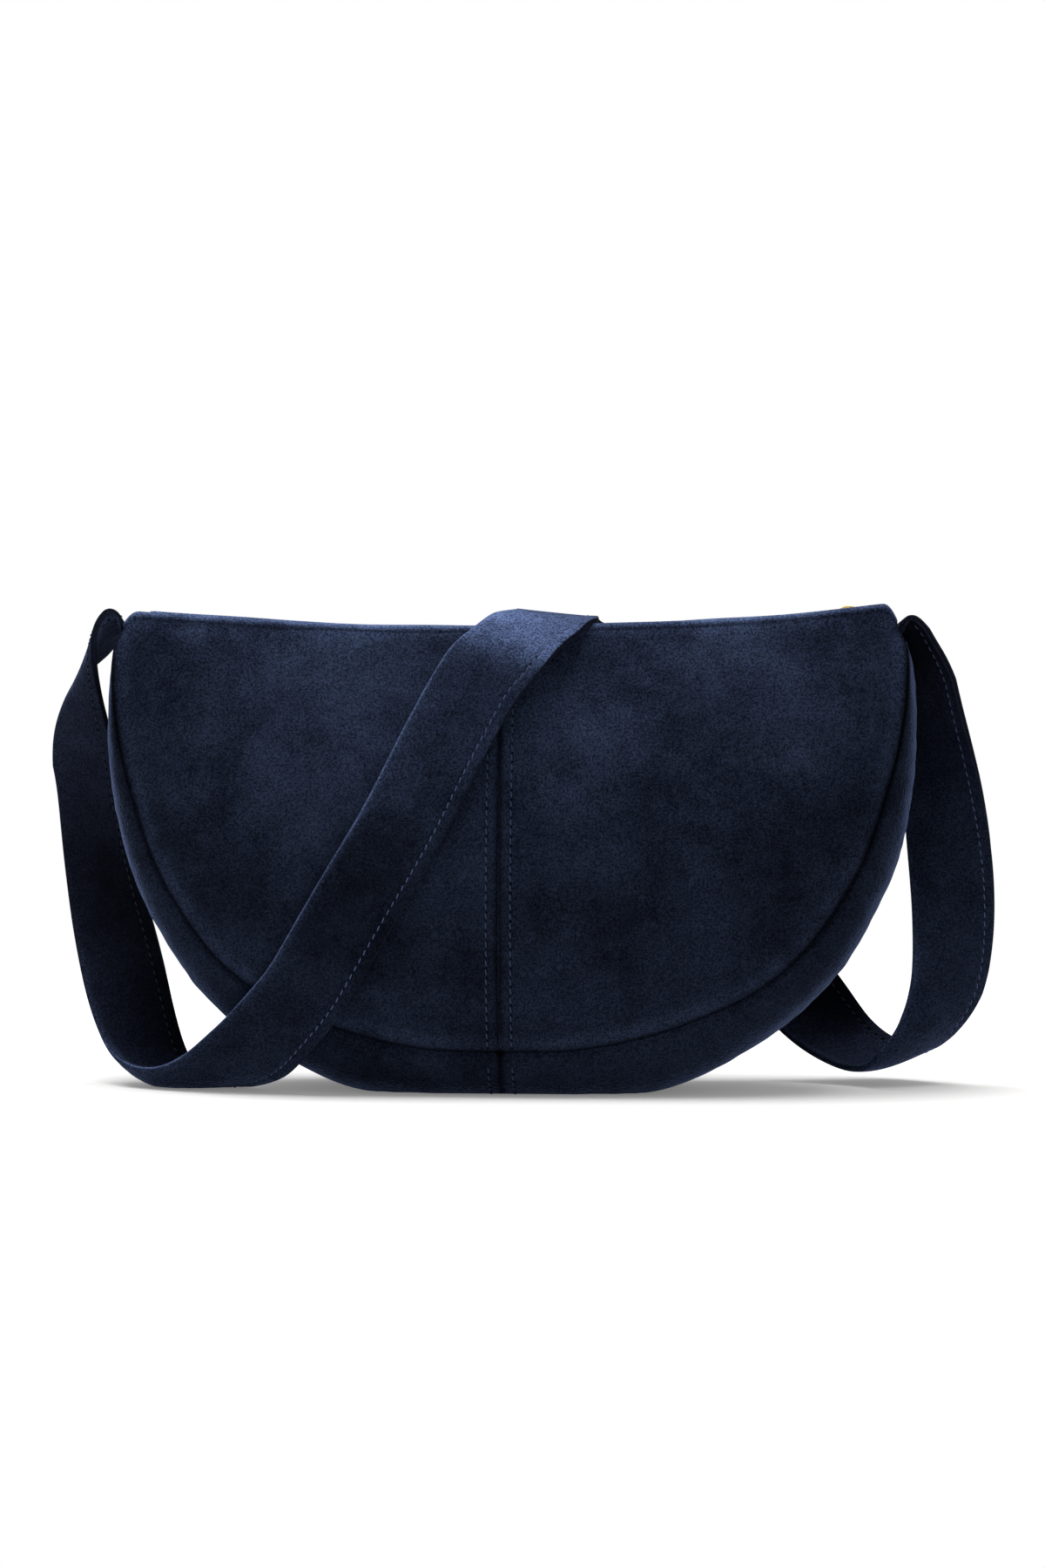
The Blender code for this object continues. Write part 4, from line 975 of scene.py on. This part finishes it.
def crest_grid(face, wall_top):
    """The rim's roll above each point of the panel's top line, then the flange inwards."""
    x, z = wall_top[:, 0], wall_top[:, 2]
    flat = np.abs(wall_top[:, 1]) - CREST_RADIUS
    relief = beside_seam(np.abs(x - SEAM_X))
    flat = flat - relief
    columns = []
    for step in range(1, CREST_STEPS + 1):
        angle = math.pi / 2 * step / CREST_STEPS
        radius = CREST_RADIUS + relief
        columns.append((flat + radius * math.cos(angle), z + radius * math.sin(angle)))
    end = flange_end(x)
    widest = RIM_HALF_DEPTH - CREST_RADIUS - STRIP_HALF_OUTER - GAP
    lowering = FLANGE_DROP * np.clip((flat - end) / widest, 0.0, 1.0)
    for step in range(1, FLANGE_STEPS + 1):
        f = step / FLANGE_STEPS
        lowered = lowering * f ** FLANGE_CURVE
        columns.append((flat + (end - flat) * f, z + CREST_RADIUS + relief - lowered))
    points = [np.stack([x, face * depth, height], axis=1) for depth, height in columns]
    return np.stack(points, axis=1)


def seam_row(grid, distance):
    """Points of a panel grid at a distance from the centre seam, from the flange downwards."""
    walls = len(SEAM_PLACES)
    over_rim = [grid[:len(REACHES), column] for column in range(grid.shape[1] - 1, walls - 1, -1)]
    down = [grid[row, :walls] for row in range(len(REACHES))]
    down = [line for line in down if np.abs(line[:, 0] - SEAM_X).max() > distance]
    return [point_at(distance, np.abs(line[:, 0] - SEAM_X), line) for line in over_rim + down]


def seam_tree(side):
    """The outer seam's line in the front view, to measure distances from."""
    shares = np.linspace(0, 1, 600)
    x_shares, z_shares = on_line(SEAM_LINE, shares)
    tree = KDTree(len(shares))
    for i, (x, z) in enumerate(zip(side_x(side, x_shares), BAG_HEIGHT * z_shares)):
        tree.insert((x, 0, z), i)
    tree.balance()
    return tree


def seam_shade_and_wear(thing, side, roll=ROLL_WEAR_AND_HIGHLIGHT, upper=0.0):
    """Painted shade in the seams' grooves, and lighter on the roll and the rim, where the nap is
    rubbed and a highlight is painted.

    Towards the rim, upper paints shade on it.
    """
    tree = seam_tree(side)
    values = []
    for vertex in thing.data.vertices:
        x, _, z = vertex.co
        from_seam = tree.find((x, 0, z))[2]
        from_rim = panel_top_z(side, x) + CREST_RADIUS - z
        value = roll * bell(from_seam, ROLL_FROM_SEAM, ROLL_HALF)
        value -= GROOVE_SHADE * bell(from_seam, 0, GROOVE_HALF)
        value -= CENTRE_SEAM_SHADE * bell(x, SEAM_X, CENTRE_SEAM_HALF)
        value += RIM_WEAR_AND_HIGHLIGHT * bell(from_rim, 0, RIM_WEAR_AND_HIGHLIGHT_REACH)
        values.append(value - upper * smoothstep(*UPPER_HEIGHTS, z))
    set_light_and_wear(thing, values)


def make_panel(face, face_name, side, side_name, suede, stitches):
    node = f"{face_name}_panel_{side_name}"
    grid = panel_grid(face, side)
    panel = surface(f"{node}_suede", grid, lambda at: (0, face, 0), suede)
    seam_shade_and_wear(panel, side)
    sew(panel, node, seam_row(grid, STITCH_OFFSET), stitches)


# Gusset

GUSSET_ROWS = 150
GUSSET_COLUMNS = 41
GUSSET_NEAR_SHARE = 0.10
GUSSET_RUN = 0.45
GUSSET_WRINKLE = 0.00045
GUSSET_WRINKLE_SIZE = 0.009
GUSSET_WRINKLE_SEED = 2.3
GUSSET_SLUMP = 0.0009
GUSSET_SLUMP_SIZE = 0.04
GUSSET_SLUMP_SEED = 6.1
GUSSET_EDGE_FADE = (-0.3, 1.2)
GUSSET_UNSEWN_COLUMNS = 3
FLOOR_CALM_REACH = 0.02
# How much painted shade darkens the gusset's upper part
GUSSET_SHADE = 0.35


def gusset_grid(side):
    """Points of a gusset half: its outline down the rows, and from front to back across."""
    near = SEAM_PLACES[SEAM_PLACES < GUSSET_NEAR_SHARE]
    rest = np.linspace(near[-1], GUSSET_TOP_SHARE, GUSSET_ROWS)[1:]
    share, turn = pairs(np.concatenate([near, rest]), np.linspace(-1, 1, GUSSET_COLUMNS))
    across = np.sin(math.pi / 2 * turn)
    x, y, z = gusset_surface(side, share, across)
    seam_x, _, seam_z = gusset_surface(side, share, 0 * across + 1)
    length = np.maximum(np.hypot(x - seam_x, z - seam_z), GAP)
    run = share * GUSSET_RUN
    relief = GUSSET_WRINKLE * uneven(run, y, GUSSET_WRINKLE_SIZE, GUSSET_WRINKLE_SEED + side)
    relief = relief + GUSSET_SLUMP * uneven(run, y, GUSSET_SLUMP_SIZE, GUSSET_SLUMP_SEED + side)
    relief = (1 - across ** 2) * smoothstep(0.0, FLOOR_CALM_REACH, z) * relief
    fade = smoothstep(*GUSSET_EDGE_FADE, 1 - np.abs(across))
    relief = relief + beside_seam(np.abs(x - SEAM_X)) * fade
    x, z = x + relief * ((x - seam_x) / length), z + relief * ((z - seam_z) / length)
    return np.stack([x, y, np.maximum(z, 0.0)], axis=2)


def make_gusset(side, side_name, suede, stitches):
    node = f"gusset_{side_name}"
    grid = gusset_grid(side)
    gusset = surface(f"{node}_suede", grid, away_from_middle, suede)
    seam_shade_and_wear(gusset, side, roll=0.0, upper=GUSSET_SHADE)
    sewn = grid[:, GUSSET_UNSEWN_COLUMNS:-GUSSET_UNSEWN_COLUMNS].swapaxes(0, 1)
    row = [point_at(STITCH_OFFSET, np.abs(line[:, 0] - SEAM_X), line) for line in sewn]
    sew(gusset, node, row, stitches)


# Lining

LINING_WRINKLE = 0.0006
LINING_WRINKLE_SIZE = 0.014
LINING_CALM_REACH = 0.02
LINING_REACH_SHARE = 0.965
LINING_GUSSET_TURN = 0.86
LINING_PANEL_GRID = (44, 60)
LINING_GUSSET_GRID = (90, 21)
LINING_SEED = 4.4


def make_lining(node, points, outside, cloth, clearance):
    """A lining piece inside the suede surface through the given points."""
    lining = surface(f"{node}_cloth", points, outside, cloth)
    push_inwards(lining, SUEDE + clearance)
    thicken(lining, LINING)
    finish_piece(lining, "bag", "lining", node)


def make_lining_panel(face, face_name, cloth):
    rows, columns = LINING_PANEL_GRID
    reach, share = pairs(np.linspace(0, LINING_REACH_SHARE, rows), np.linspace(0, 1, columns))
    halves = []
    for side in (-1, 1):
        x, depth, z, from_seam = panel_surface(side, reach, share, 0.0)
        drop = CREST_RADIUS * (1 - smoothstep(0, LINING_CALM_REACH, panel_top_z(side, x) - z))
        wrinkle = LINING_WRINKLE * (1 + uneven(x, z, LINING_WRINKLE_SIZE, LINING_SEED * face))
        wrinkle = wrinkle * smoothstep(0, LINING_CALM_REACH, from_seam)
        halves.append(np.stack([x, face * (depth - wrinkle), z - drop], axis=2))
    whole = np.concatenate([halves[0][:, ::-1], halves[1][:, 1:]], axis=1)
    make_lining(f"lining_{face_name}", whole, lambda at: (0, face, 0), cloth, 2 * GAP)


def make_lining_gusset(cloth):
    rows, columns = LINING_GUSSET_GRID
    share, turn = pairs(np.linspace(0, LINING_TOP_SHARE, rows),
                        np.linspace(-LINING_GUSSET_TURN, LINING_GUSSET_TURN, columns))
    across = np.sin(math.pi / 2 * turn)
    halves = [np.stack(gusset_surface(side, share, across), axis=2) for side in (-1, 1)]
    whole = np.concatenate([halves[0][::-1], halves[1][1:]])
    make_lining("lining_gusset", whole, away_from_middle, cloth, 4 * GAP)


# Zip

STRIP_TOP = -(FLANGE_DROP + GAP)
TAPE_TOP = STRIP_TOP - STRIP_SLOPE_DROP - STRIP_THICKNESS - GAP
CHAIN_LEVEL = TAPE_TOP - TAPE_THICKNESS / 2
STRIP_STITCH_INSET = 0.0016
STRIP_STITCH_DEPTH = STRIP_HALF_INNER + STRIP_STITCH_INSET
STRIP_SLOPE = STRIP_SLOPE_DROP / (STRIP_HALF_OUTER - STRIP_HALF_INNER)
RIM_STEP = 0.0012
TOOTH_ROOT = TAPE_HALF_INNER - GAP
TOOTH_WIDTH = TOOTH_ROOT + TOOTH_OVERLAP - GAP / 2
TOOTH_WAIST = 0.25
TOOTH_WAIST_PLACE = 0.08
TOOTH_WAIST_HALF = 0.16
TOOTH_HEAD_PLACE = 0.25
TOOTH_HEAD_TAPER = 0.2
TOOTH_ROUNDING = TOOTH_LENGTH / 9
CORD_WIDTH_SHARE = 0.65
CORD_SIDES = 10
STOP_ROUNDING = 0.0003
SLIDER_ROUNDING = 0.0002
PULL_ROUNDING = 0.0003
TAB_ROUNDING = 0.0004


def rim_loft(name, face, x_low, x_high, outline, materials):
    """A long piece that follows the rim's arc, from an outline of (half depth, height) points."""
    rings = []
    for x in np.arange(x_low, x_high, RIM_STEP).tolist() + [x_high]:
        rings.append([(x, face * depth, rim_z(x) + level) for depth, level in outline])
    return loft(name, np.array(rings), materials)


def strip_outline():
    """The strip's section: a folded edge towards the zip, and a dent under its stitches."""
    half = STRIP_THICKNESS / 2
    nose = STRIP_HALF_INNER + half
    points = []
    for depth in np.linspace(STRIP_HALF_OUTER, nose, 26):
        level = STRIP_TOP - STRIP_SLOPE * (STRIP_HALF_OUTER - depth)
        points.append((depth, level - stitch_dent(depth, STRIP_STITCH_DEPTH)))
    low = STRIP_TOP - STRIP_SLOPE * (STRIP_HALF_OUTER - nose) - half
    for angle in np.linspace(0.2, 0.8, 5) * math.pi:
        points.append((nose - half * math.sin(angle), low + half * math.cos(angle)))
    return points + [(nose, low - half), (STRIP_HALF_OUTER, STRIP_TOP - STRIP_THICKNESS)]


def make_strip(face, face_name, suede, stitches):
    node = f"zip_strip_{face_name}"
    body = f"mouth_{face_name}"
    strip = rim_loft(f"{node}_suede", face, MOUTH_LEFT_X, MOUTH_RIGHT_X, strip_outline(), [suede])
    finish_piece(strip, body, "suede", node)
    level = STRIP_TOP - STRIP_SLOPE * (STRIP_HALF_OUTER - STRIP_STITCH_DEPTH) - STITCH_DENT
    xs = np.linspace(MOUTH_LEFT_X + STRIP_STITCH_INSET, MOUTH_RIGHT_X - STRIP_STITCH_INSET, 120)
    row = [(x, face * STRIP_STITCH_DEPTH, rim_z(x) + level) for x in xs]
    stitches[f"{body}_stitches"] = (body, stitch_places(row, [(0, 0, 1)] * len(row)))


def tape_outline():
    low, high = TAPE_HALF_INNER, TAPE_HALF_OUTER
    half = TAPE_THICKNESS / 2
    return [(high, TAPE_TOP), (low + half, TAPE_TOP), (low, TAPE_TOP - half),
            (low + half, TAPE_TOP - 2 * half), (high, TAPE_TOP - 2 * half)]


def tooth_shape(face):
    """A zip tooth: a block with rounded edges, waisted behind its head."""
    bm = bmesh.new()
    bmesh.ops.create_cube(bm, size=1)
    bmesh.ops.scale(bm, vec=(TOOTH_LENGTH, TOOTH_WIDTH, TOOTH_THICKNESS), verts=bm.verts)
    lengthwise = [e for e in bm.edges if abs((e.verts[0].co - e.verts[1].co).y) > TOOTH_WIDTH / 2]
    bmesh.ops.subdivide_edges(bm, edges=lengthwise, cuts=3)
    for vertex in bm.verts:
        inwards = -face * vertex.co.y / TOOTH_WIDTH
        waist = 1 - TOOTH_WAIST * bell(inwards, TOOTH_WAIST_PLACE, TOOTH_WAIST_HALF)
        head = max(inwards - TOOTH_HEAD_PLACE, 0.0)
        taper = 1 - TOOTH_HEAD_TAPER * head / (0.5 - TOOTH_HEAD_PLACE)
        vertex.co.x *= waist * taper
        vertex.co.z *= taper
    bmesh.ops.bevel(bm, geom=bm.edges[:] + bm.verts[:], offset=TOOTH_ROUNDING, segments=2,
                    affect="EDGES", clamp_overlap=True)
    bm.verts.index_update()
    points = np.array([tuple(v.co) for v in bm.verts])
    faces = [tuple(v.index for v in f.verts) for f in bm.faces]
    bm.free()
    return points, faces, 0


def rim_place(x, y, level):
    tilt = -math.asin((x - RIM_LOW_X) / RIM_RADIUS)
    return Matrix.Translation((x, y, rim_z(x) + level)) @ Matrix.Rotation(tilt, 4, "Y")


def make_teeth(node, face, body, brass, tape):
    """A row of teeth clamped on the tape's corded edge, over the stretch that the node covers."""
    low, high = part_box(node)
    places = []
    x = low.x + TOOTH_PITCH / 2 + (TOOTH_PITCH / 2 if face > 0 else 0)
    while x + TOOTH_LENGTH / 2 < high.x:
        places.append(rim_place(x, face * (TOOTH_WIDTH / 2 - TOOTH_OVERLAP), CHAIN_LEVEL))
        x += TOOTH_PITCH
    teeth = stamped(f"{node}_row", [tooth_shape(face)], places, [brass])
    middle = (TOOTH_ROOT + TOOTH_OVERLAP + GAP) / 2
    half = BEAD_THICKNESS / 2
    outline = [(middle + half * CORD_WIDTH_SHARE * math.cos(a), CHAIN_LEVEL + half * math.sin(a))
               for a in np.linspace(0, 2 * math.pi, CORD_SIDES + 1)[:-1]]
    cord = rim_loft(f"{node}_cord", face, low.x, high.x, outline, [tape])
    finish_piece(teeth, body, "zip_metal", node)
    finish_piece(cord, body, "zip_tape", node)


def make_tape(node, face, body, tape):
    low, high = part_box(node)
    cloth = rim_loft(f"{node}_cloth", face, low.x, high.x, tape_outline(), [tape])
    finish_piece(cloth, body, "zip_tape", node)


def make_rounded(node, body, radius, material, slot="zip_metal"):
    finish_piece(rounded_copy(node, radius, material), body, slot, node)


def make_zip(suede, tape, brass, stitches):
    for face, name in FACES:
        make_strip(face, name, suede, stitches)
        stretches = (("zip", f"mouth_{name}"), ("zip_end", "bag"))
        for stretch, body in stretches:
            make_tape(f"{stretch}_tape_{name}", face, body, tape)
        for stretch, body in stretches:
            make_teeth(f"{stretch}_teeth_{name}", face, body, brass, tape)
        make_rounded(f"zip_top_stop_{name}", f"mouth_{name}", STOP_ROUNDING, brass)
    make_rounded("zip_bottom_stop", "bag", STOP_ROUNDING, brass)
    make_rounded("zip_slider", "slider", SLIDER_ROUNDING, brass)
    make_rounded("zip_pull", "pull", PULL_ROUNDING, brass)
    for _, side in SIDES:
        make_rounded(f"zip_end_tab_{side}", "bag", TAB_ROUNDING, suede, "suede")


# Strap

STRAP_STEPS = 9
STRAP_BLEND = 0.6
FULL_HALF_DEPTH = BASE_HALF_DEPTH + EDGE_WALL + PANEL_PUFF / 2
STRAP_STITCH_INSET = 0.0045
STRAP_RIPPLE = 0.0004
STRAP_RIPPLE_SIZE = 0.030
STRAP_RIPPLE_SEED = 9.4
STRAP_EDGE_WAVE = 0.00016
STRAP_EDGE_WAVE_SIZE = 0.024
STRAP_EDGE_WAVE_SEED = 7.7
STRAP_CALM_REACH = 0.03
STRAP_EDGE_START = 0.55
STITCH_END_STEPS = 4
# How much painted light or shade the strap gets: a painted highlight on the folded edge, painted light
# and painted shade elsewhere
STRAP_FOLD_HIGHLIGHT = 1.0
STRAP_FOLD_REACH = 0.0024
STRAP_REVERSE_LIGHT = 4.5
STRAP_ROOT_SHADE = 0.92
STRAP_LOW_SHADE = 0.30
STRAP_UPPER_LIGHT = 0.8
STRAP_LOOP_LIGHT = 0.6

# The strap's cut edge: (distance from the sewn edge in metres, share of the half thickness)
CUT_EDGE = [(0.0006, 0.0), (0.0001, 0.12), (0.0, 0.35), (0.0, 0.8), (0.00015, 0.93), (0.0005, 1.0)]
CUT_REACH = 0.0004
STITCH_ZONE = (0.0015, 0.0075)
PLAIN_START = 0.0095
PLAIN_END_INSET = 0.0035

# Where the strap's painted light and shade start and end, as shares of its length, and by height in
# metres
REVERSE_LIT_SHARES = (0.11, 0.18)
FRONT_SHARES = ((0.32, 0.35), (0.44, 0.48))
LOOP_SHARES = ((0.68, 0.72), (0.77, 0.82))
ROOT_SHARES = (0.87, 0.93)
PAINTED_LIGHT_HEIGHTS = (0.105, 0.165)


def surface_half_depth(x, z):
    """Half depth of the bag's front or back at a place in its front view."""
    side = -1 if x < SEAM_X else 1
    pole_z = float(panel_top_z(side, SEAM_X))
    angle = math.atan2(max(pole_z - z, 0.0), abs(x - SEAM_X))
    edge_x = side_x(side, SEAM_LINE[:, 0], 0.0)
    edge_z = BAG_HEIGHT * SEAM_LINE[:, 1]
    angles = np.arctan2(pole_z - edge_z, np.abs(edge_x - SEAM_X))
    share = float(np.interp(angle, angles[::-1], LINE_PLACES[::-1]))
    x_share, z_share = on_line(SEAM_LINE, share)
    full = math.hypot(side_x(side, x_share, 0.0) - SEAM_X, BAG_HEIGHT * z_share - pole_z)
    reach = min(math.hypot(x - SEAM_X, z - pole_z) / full, 1.0)
    base, puff = base_and_puff(side, x, z, reach, share, (1 - reach) * full)
    return max(float(base + puff), float(gusset_half_depth(share)) + EDGE_WALL)


def laid_station(face, x, z, lean_x, lean_z):
    half = STRAP_WIDTH / 2
    depths = [surface_half_depth(x + k * half * lean_x, z + k * half * lean_z) for k in (-1, 0, 1)]
    lean_y = face * (depths[2] - depths[0]) / STRAP_WIDTH
    middle = max(depths[1], (depths[0] + depths[2]) / 2)
    y = face * (middle + STRAP_LAY_CLEAR + STRAP_THICKNESS / 2)
    return [x, y, z, lean_x, lean_y, lean_z, 0]


def route_stations():
    """Every strap station as [x, y, z, the direction from sewn to folded edge, bow]."""
    def spread(rows):
        return [[x * HALF_WIDTH, y * FULL_HALF_DEPTH, z * BAG_HEIGHT, a, b, c, bow]
                for x, y, z, a, b, c, bow in rows]

    def laid(rows, face):
        return [laid_station(face, x * HALF_WIDTH, z * BAG_HEIGHT, a, c) for x, z, a, c in rows]

    def tail(side):
        turn = side * STRAP_TAIL_X
        base = BAG_HEIGHT * on_line(OUTER_LINE, GUSSET_TOP_SHARE)[1]
        return [[turn, 0, base - STRAP_TAIL_DEPTH, 0, 1, 0, 0], [turn, 0, base, 0, 1, 0, 0],
                [turn, 0, base + STRAP_TAIL_RISE, 0, 1, 0, 0]]

    stations = tail(-1) + spread(LEFT_DROP_SHARES) + laid(FRONT_RUN_SHARES, -1)
    stations += spread(OVER_RIM_SHARES) + laid(BACK_RUN_SHARES, 1) + spread(RIGHT_RISE_SHARES)
    return stations + tail(1)[::-1]


def evened(rows):
    """Rows blended with their neighbours, so that the strap's edges run in one sweep."""
    reach = 2 * STRAP_STEPS
    weights = bell(np.arange(-reach, reach + 1), 0, STRAP_BLEND * STRAP_STEPS)
    ends = np.pad(rows, ((reach, reach), (0, 0)), mode="edge")
    columns = [np.convolve(column, weights / weights.sum(), mode="valid") for column in ends.T]
    return np.stack(columns, axis=1)


def strap_frames():
    """Middle points, half lines from sewn to folded edge, and the bow off that line."""
    stations = route_stations()
    rows = evened(smooth_curve(stations, STRAP_STEPS * (len(stations) - 1) + 1))
    middle, lean, bow = rows[:, :3], rows[:, 3:6], rows[:, 6:]
    run, lean = unit(np.gradient(middle, axis=0)), unit(lean)
    along = (lean * run).sum(axis=1)
    square = np.maximum(np.sqrt(1 - along ** 2), STRAP_LEAST_SLANT_SHARE)
    arc = 1 + 8 / 3 * bow ** 2
    half = STRAP_WIDTH / 2 * lean / square[:, None] / arc
    return middle, half, bow, unit(np.cross(run, lean))


def strap_section():
    """Half of the strap's section: (distance from the sewn edge, half thickness) pairs."""
    full = STRAP_THICKNESS / 2
    section = [(inset, share * full) for inset, share in CUT_EDGE]
    section += [(inset, full - stitch_dent(inset, STRAP_STITCH_INSET))
                for inset in np.linspace(*STITCH_ZONE, 15)]
    section += [(inset, full) for inset in np.linspace(PLAIN_START, STRAP_WIDTH - PLAIN_END_INSET, 9)]
    section += [(STRAP_WIDTH - full + full * math.sin(a), full * math.cos(a))
                for a in np.linspace(0, math.pi / 2, 7)[:-1]]
    return section + [(STRAP_WIDTH, 0.0)]


def strap_rings():
    middle, half, bow, out = strap_frames()
    section = strap_section()
    lowest = (STRAP_THICKNESS + GAP) / 2
    ring = section + [(inset, -rise) for inset, rise in reversed(section[1:-1])]
    run = run_along(middle)
    calm = smoothstep(0, STRAP_CALM_REACH, run) * smoothstep(0, STRAP_CALM_REACH, run[-1] - run)
    level = 0 * run
    ripple = STRAP_RIPPLE * calm * uneven(run, level, STRAP_RIPPLE_SIZE, STRAP_RIPPLE_SEED)
    flutter = STRAP_EDGE_WAVE * calm * uneven(run, level, STRAP_EDGE_WAVE_SIZE, STRAP_EDGE_WAVE_SEED)
    rings, normals = [], []
    for inset, rise in ring:
        u = 2 * inset / STRAP_WIDTH - 1
        edge = max(-u - STRAP_EDGE_START, 0.0) / (1 - STRAP_EDGE_START)
        arch = (1 - u * u) * (1 + STRAP_CURL_SHARE * u)
        slope = STRAP_CURL_SHARE * (1 - 3 * u * u) - 2 * u
        centre = middle + u * half + STRAP_WIDTH * arch * bow * out
        centre[:, 2] = np.maximum(centre[:, 2], lowest)
        normal = unit(out - 2 * slope * bow * half / np.linalg.norm(half, axis=1)[:, None])
        lift = rise + ripple + flutter * edge ** 2
        rings.append(centre + lift[:, None] * normal)
        normals.append(normal)
    return np.swapaxes(rings, 0, 1), ring, np.swapaxes(normals, 0, 1)


def strap_painted_light(rings, ring):
    """Painted light and shade: a highlight along the folded edge, light where the reverse catches it,
    on the front run's upper part and at the right loop, and shade low on the front run and at the
    right root.
    """
    inset, rise = np.array(ring).T[:, None, :]
    place = np.linspace(0, 1, len(rings))[:, None]
    fold = bell(inset, STRAP_WIDTH, STRAP_FOLD_REACH)
    reverse = np.where(rise < 0, 1.0, 0.0)

    def within(starts, ends):
        return smoothstep(*starts, place) * (1 - smoothstep(*ends, place))

    lit = STRAP_REVERSE_LIGHT * reverse * (1 - smoothstep(*REVERSE_LIT_SHARES, place))
    root = STRAP_ROOT_SHADE * smoothstep(*ROOT_SHARES, place)
    height = smoothstep(*PAINTED_LIGHT_HEIGHTS, rings[:, :, 2])
    across = (STRAP_LOW_SHADE + STRAP_UPPER_LIGHT) * height - STRAP_LOW_SHADE
    across = within(*FRONT_SHARES) * across
    loop = STRAP_LOOP_LIGHT * within(*LOOP_SHARES)
    return STRAP_FOLD_HIGHLIGHT * fold + lit + (across + loop * (1 - reverse) - root) * (1 - fold)


def make_strap(paints, stitches):
    """The strap, from paints for its face, its cut edge and its reverse, a darker copy of its face
    that is painted shade.
    """
    rings, ring, normals = strap_rings()
    kinds = []
    for (inset, rise), (next_inset, next_rise) in zip(ring, ring[1:] + ring[:1]):
        cut = max(inset, next_inset) < CUT_REACH
        # Faces on the reverse get the darker copy of the suede, painted shade
        kinds.append(1 if cut else 2 if rise + next_rise < 0 else 0)
    strap = loft("shoulder_strap_suede", rings, paints, kinds)
    set_light_and_wear(strap, strap_painted_light(rings, ring).ravel())
    finish_piece(strap, "bag", "suede", "shoulder_strap")
    insets, rises = np.array(ring).T
    along = slice(STITCH_END_STEPS, -STITCH_END_STEPS)
    for side, name in ((1, "strap_stitches"), (-1, "strap_back_stitches")):
        column = int(np.argmin(np.abs(insets - STRAP_STITCH_INSET) + (rises * side < 0)))
        places = stitch_places(rings[along, column], side * normals[along, column])
        stitches[name] = ("bag", places)


def build():
    bpy.context.scene.view_settings.view_transform = "Standard"
    make_camera()
    make_world()
    make_floor()
    make_lamp()
    suede = suede_paint("navy_suede", BAG_TONES)
    strap_suede = suede_paint("navy_strap_suede", STRAP_TONES)
    # The strap's reverse and the thread on it: darker copies of the strap's suede and thread, painted
    # shade
    shaded_strap_back = suede_paint("strap_back_shaded_suede", SHADED_REVERSE_TONES, SHADED_REVERSE_SHEEN)
    cloth, tape, brass, hole = lining_paint(), tape_paint(), brass_paint(), hole_shade_paint()
    seam_thread = thread_paint("seam_thread", (0.009, 0.014, 0.038), (0.034, 0.050, 0.115), 0.3)
    strap_thread = thread_paint("strap_thread", (0.016, 0.027, 0.080), (0.060, 0.092, 0.210), 0.4)
    shaded_back_thread = thread_paint("strap_back_shaded_thread", (0.003, 0.004, 0.009), (0.011, 0.014, 0.028), 0.2)
    threads = {"strap_stitches": strap_thread, "strap_back_stitches": shaded_back_thread}
    seams = []
    stitches = {"seam_stitches": ("bag", seams)}
    for face, face_name in FACES:
        for side, side_name in SIDES:
            make_panel(face, face_name, side, side_name, suede, seams)
    for side, side_name in SIDES:
        make_gusset(side, side_name, suede, seams)
    for face, face_name in FACES:
        make_lining_panel(face, face_name, cloth)
    make_lining_gusset(cloth)
    make_zip(suede, tape, brass, stitches)
    make_strap([strap_suede, cut_edge_paint(), shaded_strap_back], stitches)
    shapes = stitch_shapes()
    for name, (body, places) in stitches.items():
        thread = threads.get(name, seam_thread)
        finish_piece(stamped(name, shapes, places, [thread, hole]), body, "suede")


build()
